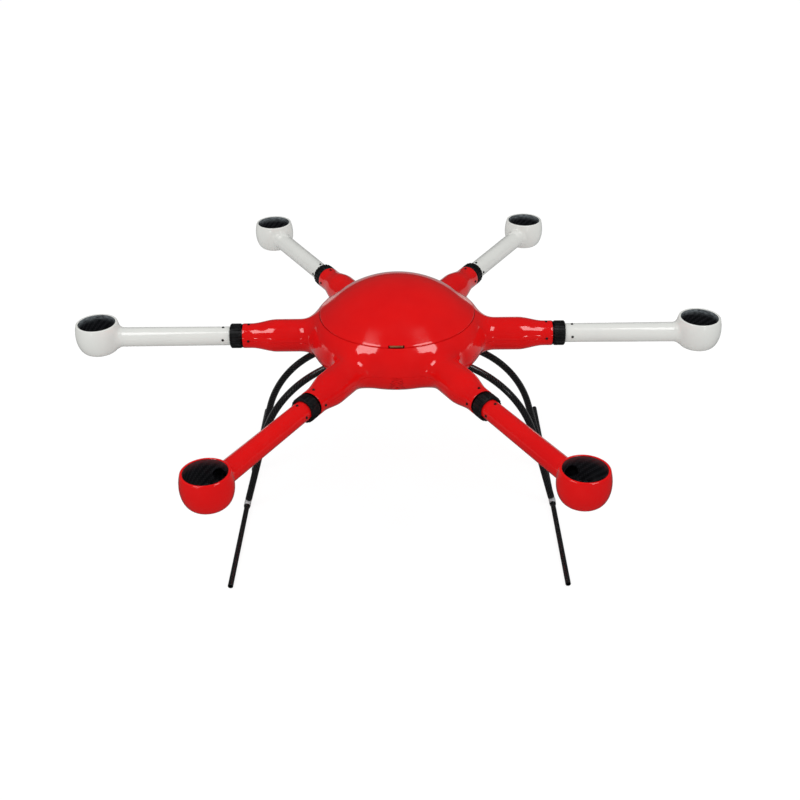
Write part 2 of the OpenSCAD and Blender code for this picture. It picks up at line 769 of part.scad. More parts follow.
motor_floor(front_left);  // motor_floor_front_left
motor_floor(front_right);  // motor_floor_front_right
arm_screws(right);  // arm_screws_right
arm_screws(rear_right);  // arm_screws_rear_right
arm_screws(rear_left);  // arm_screws_rear_left
arm_screws(left);  // arm_screws_left
arm_screws(front_left);  // arm_screws_front_left
arm_screws(front_right);  // arm_screws_front_right
leg(1, -1);  // leg_front_right
leg(1, 1);  // leg_rear_right
leg(-1, 1);  // leg_rear_left
leg(-1, -1);  // leg_front_left
tee(1, -1);  // tee_front_right
tee(1, 1);  // tee_rear_right
tee(-1, 1);  // tee_rear_left
tee(-1, -1);  // tee_front_left
skid(1);  // skid_right
skid(-1);  // skid_left
skid_rings();
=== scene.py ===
"""Looks of a six-armed multirotor airframe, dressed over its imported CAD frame.

The moulded shells, the hatch, the arms with their motor pods, the collar nuts, the landing
gear and the latch are modelled here with finer shape than their CAD nodes and stand for
them. The smaller hardware keeps its CAD mesh and gets a finish. Builders count in
millimetres, with heights from the arm axes where noted, and convert once at the end.
"""

import itertools
import logging
import math
from dataclasses import dataclass, field
from enum import Enum
from typing import Any, Callable, Iterator, Mapping, Sequence

import bmesh
import bpy
import numpy as np
from mathutils import Matrix, Vector


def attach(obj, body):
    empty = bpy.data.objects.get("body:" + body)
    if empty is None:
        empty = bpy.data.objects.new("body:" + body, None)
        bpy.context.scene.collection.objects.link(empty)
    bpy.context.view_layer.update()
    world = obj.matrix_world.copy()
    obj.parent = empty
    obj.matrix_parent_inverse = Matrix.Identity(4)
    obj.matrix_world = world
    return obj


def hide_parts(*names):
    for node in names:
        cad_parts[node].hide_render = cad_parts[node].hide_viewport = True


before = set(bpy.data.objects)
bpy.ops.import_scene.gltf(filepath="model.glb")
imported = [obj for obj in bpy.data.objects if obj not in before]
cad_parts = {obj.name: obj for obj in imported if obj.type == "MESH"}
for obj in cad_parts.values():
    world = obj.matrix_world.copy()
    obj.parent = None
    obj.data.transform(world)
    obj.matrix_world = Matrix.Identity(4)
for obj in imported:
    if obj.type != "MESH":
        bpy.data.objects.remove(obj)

log = logging.getLogger("hexacopter")

MM = 0.001
AXIS_H = 250.0
FLAT, UP = np.array([1.0, 1.0, 0.0]), np.array([0.0, 0.0, 1.0])
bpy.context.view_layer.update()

Colour = tuple[float, float, float]
Points = np.ndarray


# ---- Shader sums ----


class Signal:
    """The output of a shader node, used in sums as if it were a number."""

    def __init__(self, tree: "Tree", output: bpy.types.NodeSocket) -> None:
        """Wraps one output.

        Args:
            tree: The tree that holds the node.
            output: The output socket.
        """
        self.tree = tree
        self.output = output

    def math(self, operation: str, *others: "Signal | float") -> "Signal":
        """Passes the signal through one Math node.

        Args:
            operation: The node's operation.
            others: Its further inputs.

        Returns:
            The node's value.
        """
        inputs = dict(enumerate((self, *others)))
        return self.tree.add("ShaderNodeMath", {"operation": operation}, inputs)

    def __add__(self, other: "Signal | float") -> "Signal":
        """The sum."""
        return self.math("ADD", other)

    def __sub__(self, other: "Signal | float") -> "Signal":
        """The difference."""
        return self.math("SUBTRACT", other)

    def __rsub__(self, other: float) -> "Signal":
        """The difference, from a plain number."""
        return self.tree.add("ShaderNodeMath", {"operation": "SUBTRACT"}, {0: other, 1: self})

    def __mul__(self, other: "Signal | float") -> "Signal":
        """The product."""
        return self.math("MULTIPLY", other)

    def __truediv__(self, other: "Signal | float") -> "Signal":
        """The quotient."""
        return self.math("DIVIDE", other)

    def floor(self) -> "Signal":
        """The whole part."""
        return self.math("FLOOR")

    def fraction(self) -> "Signal":
        """The part after the point."""
        return self.math("FRACT")

    def wave(self) -> "Signal":
        """The sine, in radians."""
        return self.math("SINE")

    def less(self, limit: "Signal | float") -> "Signal":
        """1 where the signal is below the limit, else 0."""
        return self.math("LESS_THAN", limit)

    def modulo(self, step: float) -> "Signal":
        """The rest after division, never negative."""
        return self.math("FLOORED_MODULO", step)

    def rise(self, low: float, high: float) -> "Signal":
        """A smooth step from 0 at low to 1 at high."""
        return self.tree.add(
            "ShaderNodeMapRange",
            {"interpolation_type": "SMOOTHSTEP"},
            {"Value": self, "From Min": low, "From Max": high},
        )

    def between(self, low: float, high: float) -> "Signal":
        """Maps 0..1 to low..high.

        Args:
            low: The value at 0.
            high: The value at 1.

        Returns:
            The mapped signal.
        """
        return self * (high - low) + low

    def blend(self, first: "Signal | Colour", second: "Signal | Colour") -> "Signal":
        """Mixes two colours with the signal as the factor.

        Args:
            first: The colour at 0.
            second: The colour at 1.

        Returns:
            The mixed colour.
        """
        return self.tree.add(
            "ShaderNodeMix",
            {"data_type": "RGBA"},
            {"Factor": self, 6: opaque(first), 7: opaque(second)},
            2,
        )


def opaque(value: "Signal | Colour") -> "Signal | tuple[float, ...]":
    """A colour with its alpha, or the signal itself."""
    return value if isinstance(value, Signal) else (*value, 1.0)


class Tree:
    """The node tree of a material or world, filled through one method."""

    def __init__(self, owner: bpy.types.ID) -> None:
        """Empties the owner's tree.

        Args:
            owner: A material or a world.
        """
        owner.use_nodes = True
        self.nodes = owner.node_tree.nodes
        self.links = owner.node_tree.links
        self.nodes.clear()

    def add(
        self,
        kind: str,
        settings: Mapping[str, Any] | None = None,
        inputs: Mapping[str | int, Any] | None = None,
        output: int | str = 0,
    ) -> Signal:
        """Adds a node.

        Args:
            kind: The node's type.
            settings: Attributes, set before the inputs.
            inputs: Values, or signals to link, by socket name or number.
            output: The output wanted.

        Returns:
            That output.
        """
        node = self.nodes.new(kind)
        for name, value in (settings or {}).items():
            setattr(node, name, value)
        for name, value in (inputs or {}).items():
            if isinstance(value, Signal):
                self.links.new(value.output, node.inputs[name])
            else:
                node.inputs[name].default_value = value
        return Signal(self, node.outputs[output] if len(node.outputs) else None)

    def place(self, source: str = "Object") -> Signal:
        """A coordinate vector of the surface."""
        return self.add("ShaderNodeTexCoord", output=source)

    def split(self, vector: Signal) -> tuple[Signal, Signal, Signal]:
        """The three parts of a vector."""
        x = self.add("ShaderNodeSeparateXYZ", None, {0: vector})
        outs = x.output.node.outputs
        return x, Signal(self, outs[1]), Signal(self, outs[2])

    def noise(self, vector: Signal, scale: float, detail: float = 2.0) -> Signal:
        """Soft noise from 0 to 1, with scale in cells a metre."""
        inputs = {"Vector": vector, "Scale": scale, "Detail": detail}
        return self.add("ShaderNodeTexNoise", None, inputs)

    def stretch(self, vector: Signal, scale: Sequence[float]) -> Signal:
        """The vector scaled by axis."""
        settings = {"operation": "MULTIPLY"}
        return self.add("ShaderNodeVectorMath", settings, {0: vector, 1: tuple(scale)})

    def bump(self, height: Signal, depth: float, strength: float = 1.0) -> Signal:
        """A normal from a height of 0 to 1, with depth in metres."""
        inputs = {"Height": height, "Distance": depth, "Strength": strength}
        return self.add("ShaderNodeBump", None, inputs)

    def choose(self, ray: str, no: Signal, yes: Signal, share: float = 1.0) -> Signal:
        """One shader for a kind of ray, another for the rest.

        Args:
            ray: The kind of ray.
            no: The shader for the rest.
            yes: The shader for that kind.
            share: How much of the second that kind gets.

        Returns:
            The shader for both.
        """
        factor = self.add("ShaderNodeLightPath", output=ray) * share
        return self.add("ShaderNodeMixShader", None, {0: factor, 1: no, 2: yes})

    def surface(self, **inputs: Any) -> None:
        """Ends the tree in a Principled shader; underscores in names stand for spaces."""
        named = {key.replace("_", " "): value for key, value in inputs.items()}
        shader = self.add("ShaderNodeBsdfPrincipled", None, named)
        self.add("ShaderNodeOutputMaterial", None, {"Surface": shader})


# ---- Finishes ----


class Slot(Enum):
    """The material slots of the record."""

    RED = "red_lacquer"
    WHITE = "white_lacquer"
    LATCH = "brass_latch"
    HINGE = "brass_hinge"
    STEEL = "steel_bright"
    PLASTIC = "black_plastic"
    CARBON = "carbon"
    ALUMINIUM = "aluminium"
    SCREW = "black_screw"
    COLLAR = "black_collar"
    TUBE = "carbon_tube"
    ALLOY = "polished_alloy"
    RUBBER = "black_rubber"


class Finish:
    """A finish that builds one material."""

    def build(self, name: str) -> bpy.types.Material:
        """Makes the material.

        Args:
            name: Its name.

        Returns:
            The material.
        """
        material = bpy.data.materials.new(name)
        self.paint(Tree(material))
        return material

    def paint(self, tree: Tree) -> None:
        """Fills the material's tree.

        Args:
            tree: The empty tree.
        """
        raise NotImplementedError


def twill(x: Signal, y: Signal, tow: float) -> tuple[Signal, Signal, Signal]:
    """A twill of two tows over two.

    Args:
        x: Place across the tows, in metres.
        y: Place along them.
        tow: Width of a tow.

    Returns:
        1 where the first tow is on top, and the crowns of both tows.
    """
    u, v = x / tow, y / tow
    over = (u.floor() - v.floor()).modulo(4.0).less(1.5)
    return over, (u.fraction() * math.pi).wave(), (v.fraction() * math.pi).wave()


@dataclass(frozen=True)
class Lacquer(Finish):
    """Clear-coated paint, with a faint orange peel and a little haze from handling."""

    colour: Colour
    shade: Colour
    roughness: float = 0.1

    def paint(self, tree: Tree) -> None:
        """Fills the tree."""
        place = tree.place()
        tone = tree.noise(place, 14.0, 3.0).rise(0.35, 0.7)
        haze = tree.noise(place, 45.0, 4.0).rise(0.45, 0.75)
        peel = tree.noise(place, 520.0, 1.0)
        tree.surface(
            Base_Color=tone.blend(self.colour, self.shade),
            Roughness=haze.between(self.roughness, self.roughness + 0.05),
            Coat_Weight=haze.between(0.9, 0.75),
            Coat_Roughness=0.03,
            Coat_IOR=1.5,
            Normal=tree.bump(peel, 0.00003, 0.5),
        )


@dataclass(frozen=True)
class Weave(Finish):
    """Twill-woven carbon under clear resin, with a painted sheen: the tow on top is painted
    lighter, most along its crown. The tows follow the UV map, or the object.
    """

    tow: float
    source: str
    dark: Colour = (0.006, 0.0065, 0.008)
    light: Colour = (0.042, 0.045, 0.052)
    roughness: float = 0.24
    coat: float = 0.8

    def paint(self, tree: Tree) -> None:
        """Fills the tree."""
        place = tree.place(self.source)
        x, y, _ = tree.split(place)
        over, across, along = twill(x, y, self.tow)
        crown = over * across + (1.0 - over) * along
        fibre = tree.noise(place, 5200.0, 1.0)
        # Painted sheen: lighter where a tow lies on top, most along its crown.
        tone = (over.between(0.15, 0.75) * crown + fibre * 0.3).rise(0.1, 1.0)
        tree.surface(
            Base_Color=tone.blend(self.dark, self.light),
            Roughness=over.between(self.roughness, self.roughness + 0.14),
            Coat_Weight=self.coat,
            Coat_Roughness=0.05,
            Normal=tree.bump(crown, 0.00012, 0.8),
        )


@dataclass(frozen=True)
class Metal(Finish):
    """Bare, plated or anodised metal with tool marks stretched along one axis."""

    colour: Colour
    worn: Colour
    roughness: float
    grain: tuple[float, float, float] = (1.0, 1.0, 1.0)
    metallic: float = 1.0

    def paint(self, tree: Tree) -> None:
        """Fills the tree."""
        place = tree.place()
        marks = tree.noise(tree.stretch(place, self.grain), 2600.0, 3.0)
        stain = tree.noise(place, 160.0, 3.0).rise(0.4, 0.72)
        tree.surface(
            Base_Color=stain.blend(self.colour, self.worn),
            Metallic=self.metallic,
            Roughness=(marks * 0.12 + stain * 0.08) + self.roughness,
            Normal=tree.bump(marks, 0.00003, 0.35),
        )


@dataclass(frozen=True)
class Polymer(Finish):
    """Moulded plastic or rubber with a fine spark-eroded grain."""

    colour: Colour
    worn: Colour
    roughness: float
    grain: float = 1800.0

    def paint(self, tree: Tree) -> None:
        """Fills the tree."""
        place = tree.place()
        grain = tree.noise(place, self.grain, 2.0)
        dust = tree.noise(place, 90.0, 4.0).rise(0.5, 0.78)
        tree.surface(
            Base_Color=dust.blend(self.colour, self.worn),
            Roughness=grain.between(self.roughness, self.roughness + 0.15),
            Normal=tree.bump(grain, 0.00006, 0.6),
        )


@dataclass(frozen=True)
class Cup(Finish):
    """Woven laminate whose wall carries a painted reflection of the rim and surroundings,
    strongest near the rim and fading downwards in patches and streaks, and whose weave carries a
    painted sheen; V runs down from the rim.
    """

    # The first two colours are the bright and dim tints of a painted reflection on the cup wall,
    # not paint; depth is the band below the rim over which it fades out.
    reflection_tint: Colour
    thin: Colour
    dark: Colour = (0.008, 0.0085, 0.0105)
    light: Colour = (0.05, 0.052, 0.06)
    depth: tuple[float, float] = (0.002, 0.0115)
    tow: float = 0.0021

    def paint(self, tree: Tree) -> None:
        """Fills the tree."""
        place = tree.place("UV")
        around, down, _ = tree.split(place)
        over, across, along = twill(around, down, self.tow)
        crown = across * along
        # Painted sheen: the tow on top is painted lighter, most at its crown.
        weave = (over.between(0.1, 0.8) * crown).rise(0.0, 0.7).blend(self.dark, self.light)
        # Painted reflection of the rim and surroundings: uneven patches that fade out downwards
        # from the rim.
        reflection_patches = tree.noise(tree.stretch(place, (1.0, 3.0, 1.0)), 70.0, 3.0)
        rim_reflection = 1.0 - (down + (reflection_patches - 0.5) * 0.012).rise(*self.depth)
        streak = tree.noise(tree.stretch(place, (0.25, 1.0, 1.0)), 900.0, 2.0)
        # This local holds the painted reflection's tint along streaks, not paint.
        paint = streak.rise(0.3, 0.7).blend(self.thin, self.reflection_tint)
        tree.surface(
            Base_Color=(rim_reflection * reflection_patches.rise(0.25, 0.6)).blend(weave, paint),
            Roughness=streak.between(0.22, 0.42),
            Coat_Weight=0.7,
            Coat_Roughness=0.08,
            Normal=tree.bump(streak, 0.0001, 0.5),
        )


FINISHES: dict[Slot, Finish] = {
    Slot.RED: Lacquer((0.76, 0.005, 0.005), (0.7, 0.004, 0.005)),
    Slot.WHITE: Lacquer((0.80, 0.81, 0.775), (0.77, 0.78, 0.75), 0.16),
    Slot.LATCH: Metal((0.6, 0.32, 0.14), (0.42, 0.2, 0.09), 0.28, (1, 8, 8), 0.6),
    Slot.HINGE: Metal((0.5, 0.3, 0.12), (0.34, 0.19, 0.08), 0.3, (1, 8, 8)),
    Slot.STEEL: Metal((0.62, 0.63, 0.64), (0.5, 0.5, 0.5), 0.2, (1, 6, 6)),
    Slot.PLASTIC: Polymer((0.014, 0.014, 0.015), (0.03, 0.03, 0.03), 0.42),
    Slot.CARBON: Weave(0.0021, "Object"),
    Slot.ALUMINIUM: Metal((0.05, 0.051, 0.053), (0.09, 0.09, 0.09), 0.3, (1, 1, 6)),
    Slot.SCREW: Metal((0.02, 0.02, 0.021), (0.05, 0.05, 0.05), 0.34, metallic=0.6),
    Slot.COLLAR: Metal((0.012, 0.013, 0.014), (0.03, 0.03, 0.032), 0.36, metallic=0.5),
    Slot.TUBE: Weave(
        0.0012, "UV", (0.004, 0.004, 0.0045), (0.013, 0.0135, 0.015), roughness=0.16, coat=1.0
    ),
    Slot.ALLOY: Metal((0.86, 0.87, 0.89), (0.7, 0.71, 0.73), 0.14, (1, 6, 1), 0.55),
    Slot.RUBBER: Polymer((0.012, 0.012, 0.013), (0.026, 0.026, 0.026), 0.5),
}


class Palette:
    """Builds each finish once and hands it out."""

    def __init__(self) -> None:
        """Builds them all."""
        self.made = {slot: FINISHES[slot].build(slot.value) for slot in Slot}
        # The cup finishes paint a reflection of the rim, in the arm's colour, onto the pod walls.
        self.cups = {
            Slot.WHITE: Cup((0.42, 0.47, 0.49), (0.16, 0.18, 0.2)).build("cup_white_painted_reflection"),
            Slot.RED: Cup((0.22, 0.03, 0.035), (0.1, 0.07, 0.075)).build("cup_red_painted_reflection"),
        }

    def __getitem__(self, slot: Slot) -> bpy.types.Material:
        """The material of a slot."""
        return self.made[slot]


Piece = tuple[bpy.types.Object, str, Slot, tuple[str, ...]]


# ---- Mesh building ----


def cos_sin(degrees: float) -> tuple[float, float]:
    """Cosine and sine of an angle."""
    angle = math.radians(degrees)
    return math.cos(angle), math.sin(angle)


def spread(*parts: Points) -> Points:
    """Coordinates, each spread over the others, as one array of points."""
    return np.stack(np.broadcast_arrays(*parts), -1)


def lengths(path: Points) -> Points:
    """Length of a path up to each of its points."""
    return np.concatenate([[0], np.cumsum(np.linalg.norm(np.diff(path, axis=0), axis=1))])


def linked(name: str, data: bpy.types.ID) -> bpy.types.Object:
    """A new object with the data, linked to the scene."""
    made = bpy.data.objects.new(name, data)
    bpy.context.scene.collection.objects.link(made)
    return made


def turn(points: Points, degrees: float, lift: float = 0.0) -> Points:
    """Points turned about the upright axis and lifted.

    Args:
        points: Any array of points.
        degrees: The angle, anticlockwise from above.
        lift: Added height.

    Returns:
        The moved points.
    """
    c, s = cos_sin(degrees)
    x, y, z = points[..., 0], points[..., 1], points[..., 2]
    return np.stack([x * c - y * s, x * s + y * c, z + lift], -1)


class Shape:
    """Gathers grids of points in millimetres and makes one mesh of them."""

    def __init__(self) -> None:
        """Starts with no grid."""
        self.points: list[Points] = []
        self.faces: list[np.ndarray] = []
        self.marks: list[np.ndarray] = []
        self.maps: list[np.ndarray] = []
        self.count = 0

    def grid(self, points: Points, mark: int = 0, uv: np.ndarray | None = None) -> "Shape":
        """Adds a sheet of quads.

        Args:
            points: Rows by columns by 3.
            mark: The material's number.
            uv: Rows by columns by 2, in metres.

        Returns:
            The shape itself.
        """
        rows, columns = points.shape[:2]
        index = self.count + np.arange(rows * columns).reshape(rows, columns)
        quads = spread(index[:-1, :-1], index[:-1, 1:], index[1:, 1:], index[1:, :-1])
        quads = quads.reshape(-1, 4)
        self.faces.append(quads)
        self.marks.append(np.full(len(quads), mark))
        self.points.append(points.reshape(-1, 3))
        flat = np.zeros((rows * columns, 2)) if uv is None else uv.reshape(-1, 2)
        self.maps.append(flat)
        self.count += rows * columns
        return self

    def lathe(
        self,
        profile: Sequence[tuple[float, float]],
        place: Callable[[Points], Points],
        sides: int = 64,
        mark: int = 0,
        arc: tuple[float, float] = (0.0, 360.0),
        flute: Callable[[np.ndarray, np.ndarray], np.ndarray] | None = None,
    ) -> "Shape":
        """Adds a turned surface.

        Args:
            profile: Pairs of radius and height.
            place: Moves local points, with the axis along Z, to where they belong.
            sides: Steps round the full turn.
            mark: The material's number.
            arc: First and last angle in degrees.
            flute: Changes the radii, given radii and angles.

        Returns:
            The shape itself.
        """
        outline = np.array(profile, float)
        steps = max(int(sides * (arc[1] - arc[0]) / 360), 2)
        angle = np.radians(np.linspace(arc[0], arc[1], steps + 1))[None, :]
        radius = flute(outline[:, :1], angle) if flute else outline[:, :1]
        local = spread(radius * np.cos(angle), radius * np.sin(angle), outline[:, 1:])
        uv = spread(angle * outline[:, 0].max(), lengths(outline)[:, None]) * MM
        return self.grid(place(local), mark, uv)

    def object(
        self, name: str, materials: Sequence[bpy.types.Material], sharp: float = 35.0
    ) -> bpy.types.Object:
        """Makes the object: welds the grids, points the faces outwards and shades it.

        Args:
            name: The object's name.
            materials: One for each mark.
            sharp: Edges with more degrees than this stay sharp.

        Returns:
            The new object.
        """
        points = np.concatenate(self.points) * MM
        faces = np.concatenate(self.faces)
        mesh = bpy.data.meshes.new(name)
        mesh.from_pydata(points.tolist(), [], faces.tolist())
        mesh.polygons.foreach_set("material_index", np.concatenate(self.marks))
        layer = mesh.uv_layers.new(name="UVMap")
        flat = np.concatenate(self.maps)[faces.reshape(-1)]
        layer.data.foreach_set("uv", flat.reshape(-1).astype(np.float32))
        for material in materials:
            mesh.materials.append(material)
        work = bmesh.new()
        work.from_mesh(mesh)
        bmesh.ops.remove_doubles(work, verts=work.verts, dist=2e-6)
        bmesh.ops.recalc_face_normals(work, faces=work.faces)
        work.to_mesh(mesh)
        work.free()
        shade(mesh, sharp)
        return linked(name, mesh)


def shade(mesh: bpy.types.Mesh, sharp: float) -> None:
    """Smooth shading with sharp edges above an angle in degrees."""
    mesh.shade_smooth()
    mesh.set_sharp_from_angle(angle=math.radians(sharp))


def carve(target: bpy.types.Object, cutter: bpy.types.Object, sharp: float = 32.0) -> None:
    """Cuts one closed object out of another and removes the cutter.

    Args:
        target: The object that stays.
        cutter: The shape to take away.
        sharp: The sharp angle of the result.
    """
    step = target.modifiers.new("cut", "BOOLEAN")
    step.operation, step.solver, step.object = "DIFFERENCE", "EXACT", cutter
    step.use_self = True
    bpy.context.view_layer.update()
    graph = bpy.context.evaluated_depsgraph_get()
    mesh = bpy.data.meshes.new_from_object(target.evaluated_get(graph))
    target.modifiers.clear()
    old, target.data = target.data, mesh
    mesh.name = target.name
    bpy.data.meshes.remove(old)
    bpy.data.objects.remove(cutter)
    shade(mesh, sharp)


def upright(x: float = 0.0, y: float = 0.0, z: float = 0.0) -> Callable[[Points], Points]:
    """Places a lathe with its axis upright."""
    return lambda points: points + np.array([x, y, z])


def along_arm(direction: float, lift: float = AXIS_H) -> Callable[[Points], Points]:
    """Places a lathe with its axis along an arm."""
    return lambda points: turn(
        np.stack([points[..., 2], points[..., 0], points[..., 1]], -1), direction, lift
    )


def along_y(x: float, y: float, z: float) -> Callable[[Points], Points]:
    """Places a lathe with its axis fore and aft."""
    return lambda points: np.stack(
        [points[..., 0] + x, points[..., 2] + y, points[..., 1] + z], -1
    )


def rounded(
    corners: Sequence[tuple[float, float, float]], steps: int = 4
) -> list[tuple[float, float]]:
    """A closed outline with rounded corners.

    Args:
        corners: x, y and corner radius.
        steps: Points in each corner, less one.

    Returns:
        The outline's points.
    """
    out: list[tuple[float, float]] = []
    for i, (x, y, radius) in enumerate(corners):
        here = np.array([x, y])
        before = np.array(corners[i - 1][:2]) - here
        after = np.array(corners[(i + 1) % len(corners)][:2]) - here
        before, after = before / np.linalg.norm(before), after / np.linalg.norm(after)
        if radius <= 0:
            out.append((x, y))
            continue
        half = math.acos(float(np.clip(before @ after, -1, 1))) / 2
        back = radius / math.tan(half)
        start, end = here + before * back, here + after * back
        for k in range(steps + 1):
            t = k / steps
            mid = (1 - t) ** 2 * start + 2 * t * (1 - t) * here + t * t * end
            out.append((float(mid[0]), float(mid[1])))
    return out


# ---- The moulded skin ----


def smooth(x: Points, low: float, high: float) -> Points:
    """Rises smoothly from 0 to 1 as x goes from low to high."""
    t = np.clip((x - low) / (high - low), 0, 1)
    return t * t * (3 - 2 * t)


def reach(gap: Callable[[Points], Points], origin: Points, way: Points, far: float) -> Points:
    """Where rays from inside a solid leave it, found by halving.

    Args:
        gap: Distance outside the solid, negative inside.
        origin: Start points.
        way: Unit directions.
        far: A length that is surely outside.

    Returns:
        The lengths of the rays.
    """
    near = np.zeros(origin.shape[:-1])
    beyond = np.full(origin.shape[:-1], far)
    for _ in range(34):
        mid = (near + beyond) / 2
        out = gap(origin + way * mid[..., None]) > 0
        beyond, near = np.where(out, mid, beyond), np.where(out, near, mid)
    return (near + beyond) / 2


def aimed(heading: Points, angle: Points, side: int) -> Points:
    """Unit directions.

    Args:
        heading: Directions in plan, in radians.
        angle: Angles out of that plane, in radians.
        side: 1 to point up, -1 to point down.

    Returns:
        The directions, by 3.
    """
    flat = np.cos(angle)
    return spread(np.cos(heading) * flat, np.sin(heading) * flat, side * np.sin(angle))


def soft_union(a: Points, b: Points, size: float) -> Points:
    """Two distances joined with a fillet of that size."""
    h = np.maximum(size - np.abs(a - b), 0)
    return np.minimum(a, b) - h * h / (4 * size)


@dataclass(frozen=True)
class Skin:
    """The outer form of the fuselage, with heights from the arm axes."""

    radius: float = 117.0
    crown: tuple[float, float] = (42.0, 45.0)
    belly: tuple[float, float] = (37.0, 32.0)
    hatch_r: float = 102.0
    wall: float = 2.0
    stub_wall: float = 2.5
    stub_end: float = 205.5
    stub_radii: tuple[float, float] = (21.8, 16.5)
    taper: tuple[float, float] = (160.0, 195.0)
    fillet: float = 16.0
    fan_u: float = 122.0
    fan_turn: float = 20.0

    def stub_radius(self, u: Points) -> Points:
        """Radius of a stub at a distance from the centre."""
        wide, slim = self.stub_radii
        return wide + (slim - wide) * smooth(u, *self.taper)

    def gap(self, side: int, inset: float) -> Callable[[Points], Points]:
        """Distance outside one half of the skin, in the frame of the nearest stub.

        Args:
            side: 1 for the upper half, -1 for the lower.
            inset: How far the skin is moved inwards.

        Returns:
            The function of distance.
        """
        wide, tall = self.crown if side > 0 else self.belly
        core = self.radius - wide
        a, b = wide - inset, tall - inset

        def measure(p: Points) -> Points:
            """Distance of the points."""
            flat = np.hypot(p[..., 0], p[..., 1])
            body = np.hypot(np.maximum(flat - core, 0) / a, p[..., 2] / b) - 1
            stub = np.hypot(p[..., 1], p[..., 2]) - self.stub_radius(p[..., 0])
            stub = stub + inset * self.stub_wall / self.wall
            return soft_union(body * min(a, b), stub, self.fillet)

        return measure

    def stations(self, ring: float) -> np.ndarray:
        """Sections of half a sector: u, v, direction, trim, and 1 where on the ring."""
        end = self.stub_end
        lip = [(end, 0, 90, 0.6, 0), (end - 0.18, 0, 90, 0.18, 0), (end - 0.6, 0, 90, 0, 0)]
        run = [(u, 0, 90, 0, 0) for u in np.linspace(end - 2.5, self.fan_u, 34)]
        fan = [
            (self.fan_u + (ring - self.fan_u) * t, 0, 90 - self.fan_turn * t, 0, 0)
            for t in np.linspace(0.1, 0.9, 9)
        ]
        arc = [
            (*(ring * part for part in cos_sin(6 * k)), 90 - self.fan_turn - 8 * k, 0, 1)
            for k in np.linspace(0, 5, 16)
        ]
        return np.array(lip + run + fan + arc)

    def section(self, ring: float, side: int, inset: float, rows: int, seam: float) -> Points:
        """Points of half a sector, from the ridge down to the parting plane.

        Args:
            ring: Radius of the ring where the sections end.
            side: 1 for the upper half, -1 for the lower.
            inset: How far the skin is moved inwards.
            rows: Rows from the ridge to the parting plane.
            seam: Size of the rounded edge at the parting plane.

        Returns:
            Rows by stations by 3.
        """
        st = self.stations(ring)
        phi = np.radians(90 * (1 - np.arange(rows) / rows))
        foot = [(seam, 0.0), (seam * 0.35, seam * 0.25), (0.0, seam)] if seam else [(0, 0)]
        angle = np.concatenate([phi, np.zeros(len(foot))])[:, None]
        lift = np.concatenate([np.zeros(rows), [f[0] for f in foot]])[:, None] * side
        trim = np.concatenate([np.zeros(rows), [f[1] for f in foot]])[:, None] + st[:, 3]
        heading = np.radians(st[:, 2])[None, :]
        way = aimed(heading, angle, side)
        origin = spread(st[:, 0], st[:, 1], lift)
        length = reach(self.gap(side, inset), origin, way, 90.0) - trim
        return origin + way * length[..., None]


ARM_NAMES = {
    0: "right",
    60: "rear_right",
    120: "rear_left",
    180: "left",
    240: "front_left",
    300: "front_right",
}


